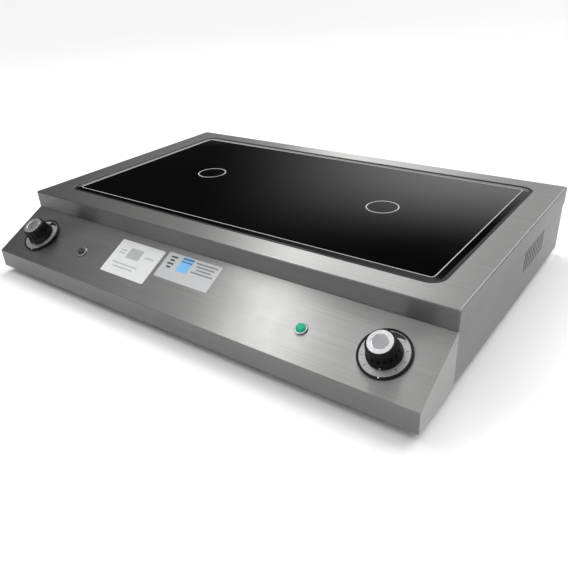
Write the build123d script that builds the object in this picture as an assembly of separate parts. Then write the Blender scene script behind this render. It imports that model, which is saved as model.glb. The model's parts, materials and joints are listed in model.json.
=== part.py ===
from build123d import *
import math
import os

# Two-zone table-top induction hob for a restaurant kitchen.
#
# A folded stainless deck holds one black glass-ceramic plate, bedded in silicone on a ledge. A sloping
# console in front of it carries two control knobs and two pilot lamps. Inside are two flat coils on
# moulded carriers, two power boards with heat sinks and upright fans, a mains filter board, and a
# terminal block behind the cable gland in the set-back rear wall.
#
# Frame: millimetres, origin under the middle of the hob on the plane it stands on, +X to the right,
# +Y to the back, +Z up.

# ---------------------------------------------------------------- driving dimensions, overall
WIDTH = 725.0
DECK_DEPTH = 415.0
CONSOLE_RUN = 85.0
BODY_HEIGHT = 99.0
FOOT_HEIGHT = 11.0
SHEET = 1.5

# deck and glass
DECK_FLANGE = 26.0
BEND_RADIUS = 2.5
BORDER_FRONT = 36.0
BORDER_REAR = 29.0
BORDER_SIDE = 37.0
OPENING_RADIUS = 20.0
JOINT_WIDTH = 5.0
JOINT_DROP = 0.8
GLASS_THICKNESS = 6.0
BEVEL_WIDTH = 9.0
BEVEL_DROP = 0.7
BEAD_HEIGHT = 1.0
LEDGE_WIDTH = 16.0

# console
LIP_HEIGHT = 27.0
SEAM = 0.3
CONSOLE_EDGE_RADIUS = 1.4
UPSTAND_HEIGHT = 16.0
RETURN_FLANGE = 14.0

# shell
WALL_FLANGE = 12.0
REAR_RECESS = 25.0
VENT_SLOT = 3.5
VENT_PITCH = 9.0
SIDE_VENTS = 10
SIDE_VENT_HEIGHT = 32.0
SIDE_VENT_Z = 62.0
SIDE_VENT_SETBACK = 140.0
REAR_VENTS = 22
REAR_VENT_HEIGHT = 40.0
INTAKE_SLOTS = 12
INTAKE_LENGTH = 60.0
INTAKE_SETBACK = 50.0

# knobs, in the console's own plane
KNOB_INSET = 60.5
KNOB_DROP = 2.0
BEZEL_RADIUS = 30.5
BEZEL_WIDTH = 2.6
BEZEL_HEIGHT = 3.4
BEZEL_ROUNDING = 0.8
DIAL_HEIGHT = 2.4
DIAL_INNER_RADIUS = 9.0
KNOB_GAP = 0.5
GRIP_BASE_RADIUS = 20.2
GRIP_SKIRT = 3.0
GRIP_SHOULDER = 4.0
GRIP_SHOULDER_STEP = 2.0
GRIP_TAPER = 1.2
GRIP_EDGE = 1.2
GRIP_TOP_Z = 24.5
GRIP_FLUTES = 12
FLUTE_RADIUS = 3.0
FLUTE_DEPTH = 0.7
CAP_RADIUS = 14.2
CAP_TOP_Z = 26.0
CAP_SEAT_DEPTH = 2.4
CAP_ROUNDING = 0.7
CAP_DISH_RADIUS = 90.0
CAP_DISH_DEPTH = 0.8
SHAFT_RADIUS = 3.0
SHAFT_CLEARANCE = 0.05
SHAFT_TOP_Z = 16.0
SHAFT_END_GAP = 0.5
BUSH_RADIUS = 4.8
BUSH_LENGTH = 2.2
BUSH_CLEARANCE = 0.2
BUSH_NUT_WIDTH = 13.0
BUSH_NUT_HEIGHT = 2.0
NUT_ROOM_RADIUS = 9.0
NUT_ROOM_HEIGHT = 3.0
POT_RADIUS = 12.0
POT_DEPTH = 13.0
POT_WALL = 2.0
POT_TAG_LENGTH = 5.0
POT_TAG_WIDTH = 2.0
POT_TAG_THICKNESS = 1.0
POT_TAG_PITCH = 5.0

# pilot lamps, in the console's own plane
LAMP_SPACING = 104.0
LAMP_DROP = 6.0
LENS_RADIUS = 6.2
LENS_HEIGHT = 4.2
LENS_DEPTH = 4.0
LENS_ROUNDING = 2.4
LAMP_BEZEL_RADIUS = 8.4
LAMP_BEZEL_HEIGHT = 2.0
LAMP_BODY_RADIUS = 7.0
LAMP_BODY_DEPTH = 24.0
LAMP_NUT_WIDTH = 2.5
LAMP_NUT_LENGTH = 3.0

# labels, in the console's own plane
LABEL_THICKNESS = 0.3
NOTICE_SIZE = (88.0, 58.0)
NOTICE_PLACE = (-98.0, 7.0)
INFO_SIZE = (97.0, 42.0)
INFO_PLACE = (1.0, 17.5)
LABEL_CORNER = 2.0

# coils
ZONE_END = 162.5
COIL_MARGIN = 30.0
COIL_INNER_RADIUS = 26.0
COIL_OUTER_GAP = 4.0
LITZ_DIAMETER = 5.0
LITZ_MERGE = 0.96
CARRIER_FLOOR = 3.0
CARRIER_RIM = 2.5
CARRIER_WINDOW_WIDTH = 6.0
CARRIER_WINDOW_INSET = 16.0
HUB_RADIUS = 22.0
HUB_WALL = 2.5
MICA_THICKNESS = 0.8
FERRITE_LENGTH = 52.0
FERRITE_WIDTH = 16.0
FERRITE_HEIGHT = 5.0
FERRITES = 8
SENSOR_RADIUS = 7.0
SENSOR_HEIGHT = 4.0
SENSOR_GAP = 2.0
SENSOR_STEM_RADIUS = 3.0
STEM_CLIP_WIDTH = 2.0
STEM_CLIP_HEIGHT = 1.0
STEM_END = 4.0
BUFFER_RADIUS = 6.0
BUFFER_GROOVE = 1.5
BUFFER_INSET = 22.634
BUFFER_HEIGHT = 15.2
RAIL_WIDTH = 25.0
RAIL_HEIGHT = 14.0

# power boards
BOARD_WIDTH = 180.0
BOARD_GAP = 7.0
WIRING_ROOM = 65.5
BOARD_THICKNESS = 1.6
BOARD_CORNER = 3.0
BOARD_LIFT = 11.5
STANDOFF_WIDTH = 7.0
STANDOFF_INSET = 7.0
SINK_WIDTH = 66.0
SINK_MARGIN = 25.0
SINK_GAP = 16.0
SINK_CLEARANCE = 6.4
SINK_FLOOR = 6.0
SINK_FINS = 10
FIN_THICKNESS = 2.0
TRANSISTOR_GAP_SHARE = 22 / 49
TRANSISTOR_WIDTH = 16.0
TRANSISTOR_THICKNESS = 5.0
TRANSISTOR_HEIGHT = 21.0
LEG_LENGTH = 6.0
LEG_PITCH = 5.0
LEG_WIDTH = 1.2
LEG_THICKNESS = 0.8
CAPACITOR_EDGE = 17.0
RESONANCE_SIZE = (28.0, 42.0, 36.0)
RESONANCE_SPREAD = 124.0
BUS_SIZE = (52.0, 24.0, 30.0)
CASE_ROUNDING = 1.5

# fans
FAN_SIZE = 80.0
FAN_THICKNESS = 25.0
FAN_CORNER = 4.0
FAN_SETBACK = 13.0
FAN_HOLE_RADIUS = 2.2
FAN_HOLE_INSET = 4.25
DUCT_WALL = 2.0
STRUT_WIDTH = 3.0
STRUT_DEPTH = 4.0
TIP_CLEARANCE = 1.5
ROTOR_HUB_RADIUS = 17.0
ROTOR_HUB_ROUNDING = 2.0
ROTOR_GAP = 1.0
ROTOR_SETBACK = 1.5
FAN_BLADES = 7
BLADE_PITCH = 38.0
BLADE_CHORD = 20.0
BLADE_THICKNESS = 1.8
FAN_SHAFT_RADIUS = 2.0
FAN_SHAFT_CLEARANCE = 0.08

# mains side
FILTER_SIZE = (116.0, 130.0)
FILTER_SETBACK = 28.5
CHOKE_RADIUS = 15.0
CHOKE_THICKNESS = 14.0
CHOKE_SHIFT = 20.0
GLAND_INSET = 112.5
GLAND_Z = 52.0
CABLE_BORE_RADIUS = 7.0
GLAND_THREAD_RADIUS = 12.5
GLAND_DOME_RADIUS = 14.5
GLAND_DOME_LENGTH = 13.0
GLAND_HEX = 30.0
GLAND_HEX_LENGTH = 7.0
GLAND_INSIDE = 10.0
GLAND_ROUNDING = 4.0
LOCKNUT_HEX = 32.0
LOCKNUT_LENGTH = 5.0
STUD_INSET = 62.5
STUD_Z = 32.0
STUD_RADIUS = 3.0
STUD_FREE_LENGTH = 13.0
STUD_COLLAR_WIDTH = 10.0
STUD_COLLAR_HEIGHT = 4.0
STUD_SHANK_RADIUS = 2.5
STUD_NUT_WIDTH = 8.0
STUD_NUT_HEIGHT = 4.0
STUD_CHAMFER = 0.6
TERMINAL_WIDTH = 62.0
TERMINAL_DEPTH = 24.0
TERMINAL_HEIGHT = 26.0
TERMINAL_SETBACK = 24.0
TERMINAL_POLES = 5
TERMINAL_HOLE_RADIUS = 3.0
TERMINAL_CHAMFER = 4.0

# fixings and feet
SCREW_RADIUS = 2.0
SCREW_HEAD_RADIUS = 3.8
SCREW_HEAD_HEIGHT = 2.2
SCREW_LENGTH = 8.0
SIDE_SCREWS = 4
SIDE_SCREW_FRONT = 50.0
SIDE_SCREW_REAR = 60.0
END_SCREW_SPREAD = 230.0
THREAD_CLEARANCE = 0.05
HOLE_CLEARANCE = 0.25
FOOT_RADIUS = 19.0
FOOT_TOP_RADIUS = 16.5
FOOT_INSET = (48.0, 52.0)
FOOT_SCREW_RADIUS = 2.5
FOOT_SCREW_HEAD_RADIUS = 5.0
FOOT_SEAT_Z = 5.5

# ---------------------------------------------------------------- places worked out from them
HALF = WIDTH / 2
FRONT_Y = -(DECK_DEPTH + CONSOLE_RUN) / 2
REAR_Y = -FRONT_Y
DECK_FRONT_Y = FRONT_Y + CONSOLE_RUN
BASE_Z = FOOT_HEIGHT
FLOOR_Z = BASE_Z + SHEET
TOP_Z = BASE_Z + BODY_HEIGHT
DECK_UNDER_Z = TOP_Z - SHEET
FLANGE_Z = TOP_Z - DECK_FLANGE
LIP_TOP_Z = BASE_Z + LIP_HEIGHT

OPENING = (WIDTH - 2 * BORDER_SIDE, DECK_DEPTH - BORDER_FRONT - BORDER_REAR)
GLASS_Y = (DECK_FRONT_Y + BORDER_FRONT + REAR_Y - BORDER_REAR) / 2
GLASS = (OPENING[0] - 2 * JOINT_WIDTH, OPENING[1] - 2 * JOINT_WIDTH)
GLASS_RADIUS = OPENING_RADIUS - JOINT_WIDTH
GLASS_UNDER_Z = TOP_Z - GLASS_THICKNESS
LEDGE_Z = GLASS_UNDER_Z - BEAD_HEIGHT

SLOPE_END_Y = DECK_FRONT_Y + SHEET
SLOPE_END_Z = FLANGE_Z - SEAM
SLOPE = math.atan2(SLOPE_END_Z - LIP_TOP_Z, SLOPE_END_Y - FRONT_Y)
SLOPE_LENGTH = math.hypot(SLOPE_END_Z - LIP_TOP_Z, SLOPE_END_Y - FRONT_Y)
CONSOLE = Plane(
    origin=(0, (FRONT_Y + SLOPE_END_Y) / 2, (LIP_TOP_Z + SLOPE_END_Z) / 2),
    x_dir=(1, 0, 0),
    z_dir=(0, -math.sin(SLOPE), math.cos(SLOPE)),
)

WALL_OUT_X = HALF - SHEET
WALL_IN_X = WALL_OUT_X - SHEET
LIP_IN_Y = FRONT_Y + SHEET
UPSTAND_IN_Y = SLOPE_END_Y + SHEET
REAR_IN_Y = REAR_Y - SHEET
REAR_PANEL_Y = REAR_Y - REAR_RECESS
REAR_PANEL_IN_Y = REAR_PANEL_Y - SHEET
FLANGE_TOP_Z = FLOOR_Z + SHEET
KNOB_X = HALF - KNOB_INSET
LAMP_X = KNOB_X - LAMP_SPACING
GLAND_X = HALF - GLAND_INSET
STUD_X = STUD_INSET - HALF
SIDE_VENT_Y = REAR_Y - SIDE_VENT_SETBACK
INTAKE_Y = FRONT_Y + INTAKE_SETBACK

ZONE_X = OPENING[0] / 2 - ZONE_END
ZONES = {"left": -ZONE_X, "right": ZONE_X}
TURN_PITCH = LITZ_DIAMETER * LITZ_MERGE
COIL_ROOM = min(OPENING[1] / 2 - LEDGE_WIDTH, ZONE_X) - COIL_MARGIN
COIL_SPAN = COIL_ROOM - CARRIER_RIM - COIL_OUTER_GAP - LITZ_DIAMETER - COIL_INNER_RADIUS
COIL_TURNS = 1 + math.floor(COIL_SPAN / TURN_PITCH)
COIL_OUTER_RADIUS = COIL_INNER_RADIUS + LITZ_DIAMETER + (COIL_TURNS - 1) * TURN_PITCH
CARRIER_RADIUS = COIL_OUTER_RADIUS + COIL_OUTER_GAP + CARRIER_RIM
MICA_Z = GLASS_UNDER_Z - MICA_THICKNESS
WINDING_Z = MICA_Z - LITZ_DIAMETER
CARRIER_Z = WINDING_Z - CARRIER_FLOOR
BUFFER_OFFSET = (CARRIER_RADIUS - BUFFER_INSET) / math.sqrt(2)
RAIL_TOP_Z = CARRIER_Z - BUFFER_HEIGHT
BOARD_Z = FLOOR_Z + BOARD_LIFT
BOARD_TOP_Z = BOARD_Z + BOARD_THICKNESS
FAN_Y = DECK_FRONT_Y + FAN_SETBACK
DUCT_RADIUS = FAN_SIZE / 2 - DUCT_WALL
TERMINAL_REAR_Y = REAR_PANEL_IN_Y - TERMINAL_SETBACK
TERMINAL_FRONT_Y = TERMINAL_REAR_Y - TERMINAL_DEPTH
BOARD_FRONT_Y = FAN_Y + FAN_THICKNESS + BOARD_GAP
BOARD_REAR_Y = TERMINAL_FRONT_Y - WIRING_ROOM
BOARD_SIZE = (BOARD_WIDTH, BOARD_REAR_Y - BOARD_FRONT_Y)
BOARD_Y = (BOARD_FRONT_Y + BOARD_REAR_Y) / 2
CAPACITOR_Y = BOARD_REAR_Y - CAPACITOR_EDGE - RESONANCE_SIZE[1] / 2
SINK_FRONT_Y = BOARD_FRONT_Y + SINK_MARGIN
SINK_REAR_Y = CAPACITOR_Y - RESONANCE_SIZE[1] / 2 - SINK_GAP
SINK_TOP_Z = RAIL_TOP_Z - RAIL_HEIGHT - SINK_CLEARANCE
SINK_FREE_LENGTH = SINK_REAR_Y - SINK_FRONT_Y - 2 * TRANSISTOR_WIDTH
TRANSISTOR_SPREAD = TRANSISTOR_WIDTH + SINK_FREE_LENGTH * TRANSISTOR_GAP_SHARE
FILTER_Y = REAR_PANEL_IN_Y - FILTER_SETBACK - FILTER_SIZE[1] / 2
GRIP_BASE_Z = DIAL_HEIGHT + KNOB_GAP
GRIP_TOP_RADIUS = GRIP_BASE_RADIUS - GRIP_SHOULDER_STEP - GRIP_TAPER
RAIL_YS = {"front": GLASS_Y - BUFFER_OFFSET, "rear": GLASS_Y + BUFFER_OFFSET}
FOOT_PLACES = [
    (side * (HALF - FOOT_INSET[0]), end * (REAR_Y - FOOT_INSET[1])) for side in (-1, 1) for end in (-1, 1)
]
SIDE_SCREW_PITCH = (REAR_Y - FRONT_Y - SIDE_SCREW_FRONT - SIDE_SCREW_REAR) / (SIDE_SCREWS - 1)
SIDE_SCREW_YS = [FRONT_Y + SIDE_SCREW_FRONT + n * SIDE_SCREW_PITCH for n in range(SIDE_SCREWS)]
END_SCREW_XS = (-END_SCREW_SPREAD, 0, END_SCREW_SPREAD)
BASE_SCREWS = (
    [(side * (WALL_IN_X - WALL_FLANGE / 2), y) for side in (-1, 1) for y in SIDE_SCREW_YS]
    + [(x, LIP_IN_Y + RETURN_FLANGE / 2) for x in END_SCREW_XS]
    + [(x, REAR_PANEL_IN_Y - WALL_FLANGE / 2) for x in END_SCREW_XS]
)
ON_BASE = (Align.CENTER, Align.CENTER, Align.MIN)


# ---------------------------------------------------------------- helpers
def block(x0, x1, y0, y1, z0, z1):
    """A block between two opposite corners."""
    centre = Pos((x0 + x1) / 2, (y0 + y1) / 2, (z0 + z1) / 2)
    return centre * Box(abs(x1 - x0), abs(y1 - y0), abs(z1 - z0))


def rod(radius, z0, z1, x=0.0, y=0.0):
    """An upright cylinder from z0 to z1."""
    return Pos(x, y, z0) * Cylinder(radius, z1 - z0, align=ON_BASE)


def ring(outer, inner, z0, z1, x=0.0, y=0.0):
    """An upright tube from z0 to z1."""
    return rod(outer, z0, z1, x, y) - rod(inner, z0 - 1, z1 + 1, x, y)


def slab(size, radius, z0, z1, x=0.0, y=0.0):
    """A plate with rounded corners from z0 to z1."""
    return Pos(x, y, z0) * extrude(RectangleRounded(size[0], size[1], radius), z1 - z0)


def hexagon(across_flats, z0, z1, x=0.0, y=0.0):
    """A hexagon prism from z0 to z1."""
    outline = RegularPolygon(across_flats / 2, 6, major_radius=False)
    return Pos(x, y, z0) * extrude(outline, z1 - z0)


def yz_prism(points, x0, x1):
    """A prism along X from an outline given in Y and Z."""
    outline = Polyline([(x0, y, z) for y, z in points], close=True)
    return extrude(make_face(outline), x1 - x0, dir=(1, 0, 0))


def on_console(shape, x, y=0.0):
    """Moves a shape from the console's plane, where z=0 is the steel's outer face, into the hob's frame."""
    return CONSOLE.location * Pos(x, y, 0) * shape


def at_knob(shape, side):
    """Moves a shape to a knob's axis on the console; side is -1 for left and 1 for right."""
    return on_console(shape, side * KNOB_X, -KNOB_DROP)


def at_lamp(shape, side):
    """Moves a shape to a pilot lamp's axis on the console."""
    return on_console(shape, side * LAMP_X, -LAMP_DROP)


def slope_z(y, depth=0.0):
    """Height of the console's slope at y, or of the plane that lies depth below it."""
    return LIP_TOP_Z + (y - FRONT_Y) * math.tan(SLOPE) - depth / math.cos(SLOPE)


def joined(shapes):
    """All the shapes fused into one."""
    shapes = list(shapes)
    return shapes[0].fuse(*shapes[1:]) if len(shapes) > 1 else shapes[0]


# ---------------------------------------------------------------- deck and glass
def deck_frame():
    """Folded top with turned-down edges and the cut-out for the glass."""
    outer = block(-HALF, HALF, DECK_FRONT_Y, REAR_Y, FLANGE_Z, TOP_Z)
    folds = outer.edges().filter_by(Axis.Z) + outer.edges().group_by(Axis.Z)[-1]
    outer = fillet(folds, BEND_RADIUS)
    inner = block(
        -WALL_OUT_X, WALL_OUT_X, SLOPE_END_Y, REAR_IN_Y, FLANGE_Z - SHEET, DECK_UNDER_Z
    )
    opening = slab(OPENING, OPENING_RADIUS, DECK_UNDER_Z - SHEET, TOP_Z + SHEET, y=GLASS_Y)
    return outer - inner - opening


def glass_ledge():
    """Welded ring under the cut-out: a web that hangs from the deck and a ledge that carries the glass."""
    outside = (OPENING[0] + 2 * SHEET, OPENING[1] + 2 * SHEET)
    inside = (OPENING[0] - 2 * LEDGE_WIDTH, OPENING[1] - 2 * LEDGE_WIDTH)
    body = slab(outside, OPENING_RADIUS + SHEET, LEDGE_Z - SHEET, DECK_UNDER_Z, y=GLASS_Y)
    body -= slab(OPENING, OPENING_RADIUS, LEDGE_Z, TOP_Z, y=GLASS_Y)
    return body - slab(inside, OPENING_RADIUS / 2, BASE_Z, TOP_Z, y=GLASS_Y)


def glass_top():
    """Glass-ceramic plate with a wide shallow bevel round its top."""
    plate = slab(GLASS, GLASS_RADIUS, GLASS_UNDER_Z, TOP_Z, y=GLASS_Y)
    rim = plate.edges().group_by(Axis.Z)[-1]
    return chamfer(rim, BEVEL_WIDTH, BEVEL_DROP, reference=plate.faces().sort_by(Axis.Z)[-1])


def glass_seal():
    """Silicone that beds the glass on its ledge and fills the joint round it."""
    fill = slab(OPENING, OPENING_RADIUS, LEDGE_Z, TOP_Z - JOINT_DROP, y=GLASS_Y)
    fill -= slab(GLASS, GLASS_RADIUS, GLASS_UNDER_Z, TOP_Z, y=GLASS_Y)
    bead = (OPENING[0] - 2 * LEDGE_WIDTH, OPENING[1] - 2 * LEDGE_WIDTH)
    return fill - slab(bead, OPENING_RADIUS / 2, BASE_Z, TOP_Z, y=GLASS_Y)


# ---------------------------------------------------------------- shell
def console_panel():
    """Folded console: front lip, slope and end cheeks, with an upstand behind the deck's front edge."""
    outline = [
        (FRONT_Y, BASE_Z),
        (FRONT_Y, LIP_TOP_Z),
        (SLOPE_END_Y, SLOPE_END_Z),
        (SLOPE_END_Y, BASE_Z),
    ]
    inside = [
        (LIP_IN_Y, BASE_Z - SHEET),
        (LIP_IN_Y, slope_z(LIP_IN_Y, SHEET)),
        (REAR_Y, slope_z(REAR_Y, SHEET)),
        (REAR_Y, BASE_Z - SHEET),
    ]
    shell = yz_prism(outline, -HALF, HALF)
    front_fold = [
        e for e in shell.edges().filter_by(Axis.X) if abs(e.center().Z - LIP_TOP_Z) < SEAM
    ]
    ends = [
        e
        for e in shell.edges()
        if abs(abs(e.center().X) - HALF) < SEAM
        and e.center().Z > BASE_Z + SHEET
        and e.center().Y < SLOPE_END_Y - SHEET
    ]
    shell = fillet(front_fold + ends, CONSOLE_EDGE_RADIUS)
    shell -= yz_prism(inside, -WALL_OUT_X, WALL_OUT_X)
    upstand_z = slope_z(SLOPE_END_Y, SHEET)
    upstand_top_z = FLANGE_Z + UPSTAND_HEIGHT
    upstand = block(-WALL_OUT_X, WALL_OUT_X, SLOPE_END_Y, UPSTAND_IN_Y, upstand_z, upstand_top_z)
    return_flange_x = WALL_IN_X - WALL_FLANGE - SHEET
    lip_flange = block(
        -return_flange_x, return_flange_x, LIP_IN_Y, LIP_IN_Y + RETURN_FLANGE, FLOOR_Z, FLANGE_TOP_Z
    )
    panel = joined([shell, upstand, lip_flange])
    for side in (-1, 1):
        panel -= at_knob(rod(BUSH_RADIUS + BUSH_CLEARANCE, -2 * SHEET, SHEET), side)
        panel -= at_lamp(rod(LAMP_BODY_RADIUS + BUSH_CLEARANCE, -2 * SHEET, SHEET), side)
    for x, y in BASE_SCREWS:
        panel -= rod(SCREW_RADIUS + THREAD_CLEARANCE, BASE_Z, FLANGE_TOP_Z + SHEET, x, y)
    return panel


def side_panel(side):
    """Side wall with turned-in top, bottom and rear edges and a row of air slots."""
    outline = [
        (LIP_IN_Y, BASE_Z),
        (LIP_IN_Y, slope_z(LIP_IN_Y, SHEET)),
        (SLOPE_END_Y, slope_z(SLOPE_END_Y, SHEET)),
        (UPSTAND_IN_Y, slope_z(SLOPE_END_Y, SHEET)),
        (UPSTAND_IN_Y, DECK_UNDER_Z),
        (REAR_IN_Y, DECK_UNDER_Z),
        (REAR_IN_Y, BASE_Z),
    ]
    wall = yz_prism(outline, WALL_IN_X, WALL_OUT_X)
    turned_x = WALL_IN_X - WALL_FLANGE
    flange_end_y = REAR_PANEL_IN_Y - SHEET
    top = block(turned_x, WALL_IN_X, UPSTAND_IN_Y, flange_end_y, DECK_UNDER_Z - SHEET, DECK_UNDER_Z)
    bottom = block(turned_x, WALL_IN_X, LIP_IN_Y, flange_end_y, FLOOR_Z, FLANGE_TOP_Z)
    rear = block(turned_x, WALL_IN_X, REAR_IN_Y - SHEET, REAR_IN_Y, BASE_Z, DECK_UNDER_Z - SHEET)
    panel = joined([wall, top, bottom, rear])
    for n in range(SIDE_VENTS):
        y = SIDE_VENT_Y + (n - (SIDE_VENTS - 1) / 2) * VENT_PITCH
        slot = SlotOverall(SIDE_VENT_HEIGHT, VENT_SLOT, rotation=90)
        cutter = Plane(origin=(WALL_IN_X - SHEET, y, SIDE_VENT_Z), x_dir=(0, 1, 0), z_dir=(1, 0, 0))
        panel -= cutter.location * extrude(slot, 3 * SHEET)
    for x, y in BASE_SCREWS:
        if x > turned_x:
            panel -= rod(SCREW_RADIUS + THREAD_CLEARANCE, BASE_Z, FLANGE_TOP_Z + SHEET, x, y)
    return panel if side > 0 else mirror(panel, Plane.YZ)


def rear_panel():
    """Set-back rear wall with exhaust slots, the gland's hole and the bonding stud's hole."""
    wall = block(-WALL_IN_X, WALL_IN_X, REAR_PANEL_IN_Y, REAR_PANEL_Y, FLOOR_Z, DECK_UNDER_Z)
    flange_x = WALL_IN_X - WALL_FLANGE - SHEET
    bottom = block(
        -flange_x, flange_x, REAR_PANEL_IN_Y - WALL_FLANGE, REAR_PANEL_IN_Y, FLOOR_Z, FLANGE_TOP_Z
    )
    top = block(
        -flange_x, flange_x, REAR_PANEL_Y, REAR_PANEL_Y + WALL_FLANGE, DECK_UNDER_Z - SHEET, DECK_UNDER_Z
    )
    panel = joined([wall, bottom, top])
    middle_z = (FLOOR_Z + FLANGE_Z) / 2
    for n in range(REAR_VENTS):
        x = (n - (REAR_VENTS - 1) / 2) * VENT_PITCH
        slot = SlotOverall(REAR_VENT_HEIGHT, VENT_SLOT, rotation=90)
        cutter = Plane(origin=(x, REAR_PANEL_Y + SHEET, middle_z), x_dir=(1, 0, 0), z_dir=(0, -1, 0))
        panel -= cutter.location * extrude(slot, 3 * SHEET)
    panel -= facing_back(rod(GLAND_THREAD_RADIUS + HOLE_CLEARANCE, -2 * SHEET, SHEET), GLAND_X, GLAND_Z)
    panel -= facing_back(rod(STUD_SHANK_RADIUS + THREAD_CLEARANCE, -2 * SHEET, SHEET), STUD_X, STUD_Z)
    for x, y in BASE_SCREWS:
        panel -= rod(SCREW_RADIUS + THREAD_CLEARANCE, BASE_Z, FLANGE_TOP_Z + SHEET, x, y)
    return panel


def facing_back(shape, x, z):
    """Moves a shape so that its +Z points backwards from the rear panel's outer face."""
    return Pos(x, REAR_PANEL_Y, z) * Rot(-90, 0, 0) * shape


def base_plate():
    """Flat bottom plate with the two fans' intake slots and the holes for its screws and feet."""
    plate = block(-WALL_IN_X, WALL_IN_X, LIP_IN_Y, REAR_PANEL_Y, BASE_Z, FLOOR_Z)
    for zone_x in ZONES.values():
        for n in range(INTAKE_SLOTS):
            x = zone_x + (n - (INTAKE_SLOTS - 1) / 2) * VENT_PITCH
            slot = extrude(SlotOverall(INTAKE_LENGTH, VENT_SLOT, rotation=90), 3 * SHEET)
            plate -= Pos(x, INTAKE_Y, BASE_Z - SHEET) * slot
    for x, y in BASE_SCREWS:
        plate -= rod(SCREW_RADIUS + HOLE_CLEARANCE, BASE_Z - SHEET, FLOOR_Z + SHEET, x, y)
    for x, y in FOOT_PLACES:
        plate -= rod(FOOT_SCREW_RADIUS + HOLE_CLEARANCE, BASE_Z - SHEET, FLOOR_Z + SHEET, x, y)
    return plate


def bottom_screws():
    """Base-plate screws, and the feet's screws with their nuts."""
    made = []
    for x, y in BASE_SCREWS:
        head = rod(SCREW_HEAD_RADIUS, BASE_Z - SCREW_HEAD_HEIGHT, BASE_Z, x, y)
        head = chamfer(head.edges().group_by(Axis.Z)[0], SCREW_HEAD_HEIGHT / 3)
        made.append(head + rod(SCREW_RADIUS, BASE_Z, BASE_Z + SCREW_LENGTH, x, y))
    nut_top = FLOOR_Z + FOOT_SCREW_RADIUS * 1.6
    for x, y in FOOT_PLACES:
        head = rod(FOOT_SCREW_HEAD_RADIUS, FOOT_SEAT_Z - SCREW_HEAD_HEIGHT, FOOT_SEAT_Z, x, y)
        shank = rod(FOOT_SCREW_RADIUS, FOOT_SEAT_Z, nut_top + SHEET, x, y)
        made.append(head + shank)
        bore = rod(FOOT_SCREW_RADIUS + THREAD_CLEARANCE, BASE_Z, TOP_Z, x, y)
        made.append(hexagon(FOOT_SCREW_RADIUS * 3.2, FLOOR_Z, nut_top, x, y) - bore)
    return made


def feet():
    """Four rubber feet, each with a well for its screw."""
    made = []
    for x, y in FOOT_PLACES:
        foot = Pos(x, y, 0) * Cone(FOOT_RADIUS, FOOT_TOP_RADIUS, FOOT_HEIGHT, align=ON_BASE)
        foot = fillet(foot.edges().group_by(Axis.Z)[0], SHEET)
        foot -= rod(FOOT_SCREW_HEAD_RADIUS + SHEET, -SHEET, FOOT_SEAT_Z, x, y)
        made.append(foot - rod(FOOT_SCREW_RADIUS + HOLE_CLEARANCE, -SHEET, TOP_Z, x, y))
    return made


# ---------------------------------------------------------------- coils
def coil_winding(zone_x):
    """Flat spiral of litz wire, as rings that touch."""
    radius = LITZ_DIAMETER / 2
    turns = [Pos(COIL_INNER_RADIUS + radius + n * TURN_PITCH, 0) * Circle(radius) for n in range(COIL_TURNS)]
    section = Plane.XZ.location * joined(turns)
    return Pos(zone_x, GLASS_Y, WINDING_Z + radius) * revolve(section, Axis.Z)


def coil_carrier(zone_x):
    """Moulded dish for the winding: floor with cooling windows, rim, and a hub that holds the sensor."""
    dish = rod(CARRIER_RADIUS, CARRIER_Z, MICA_Z)
    dish -= ring(CARRIER_RADIUS - CARRIER_RIM, HUB_RADIUS, WINDING_Z, MICA_Z)
    dish -= rod(HUB_RADIUS - HUB_WALL, WINDING_Z, TOP_Z)
    dish -= rod(SENSOR_STEM_RADIUS + HOLE_CLEARANCE, BASE_Z, TOP_Z)
    start = HUB_RADIUS + LITZ_DIAMETER
    end = CARRIER_RADIUS - CARRIER_WINDOW_INSET
    half = CARRIER_WINDOW_WIDTH / 2
    for n in range(FERRITES):
        window = block(start, end, -half, half, CARRIER_Z - SHEET, WINDING_Z + SHEET)
        dish -= Rot(0, 0, 360 / FERRITES * n) * window
    return Pos(zone_x, GLASS_Y, 0) * dish


def coil_ferrites(zone_x):
    """Ferrite bars under the carrier, one between each two windows."""
    end = CARRIER_RADIUS - CARRIER_WINDOW_INSET
    half = FERRITE_WIDTH / 2
    bar = block(end - FERRITE_LENGTH, end, -half, half, CARRIER_Z - FERRITE_HEIGHT, CARRIER_Z)
    bar = fillet(bar.edges().filter_by(Axis.Z), 1)
    turned = [Rot(0, 0, 360 / FERRITES * (n + 0.5)) * bar for n in range(FERRITES)]
    return [Pos(zone_x, GLASS_Y, 0) * piece for piece in turned]


def mica_disc(zone_x):
    """Insulating disc between the winding and the glass."""
    return ring(CARRIER_RADIUS, SENSOR_RADIUS + SENSOR_GAP, MICA_Z, GLASS_UNDER_Z, zone_x, GLASS_Y)


def glass_sensor(zone_x):
    """Temperature sensor that lies against the glass, on a stem clipped into the carrier's hub."""
    puck_z = GLASS_UNDER_Z - SENSOR_HEIGHT
    puck = rod(SENSOR_RADIUS, puck_z, GLASS_UNDER_Z)
    puck = fillet(puck.edges().group_by(Axis.Z)[0], 1)
    stem = rod(SENSOR_STEM_RADIUS, CARRIER_Z - STEM_END, puck_z)
    clip_radius = SENSOR_STEM_RADIUS + STEM_CLIP_WIDTH
    clip = rod(clip_radius, CARRIER_Z - STEM_CLIP_HEIGHT, CARRIER_Z)
    collar = rod(clip_radius, WINDING_Z, WINDING_Z + STEM_CLIP_HEIGHT)
    return Pos(zone_x, GLASS_Y, 0) * joined([puck, stem, clip, collar])


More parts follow.
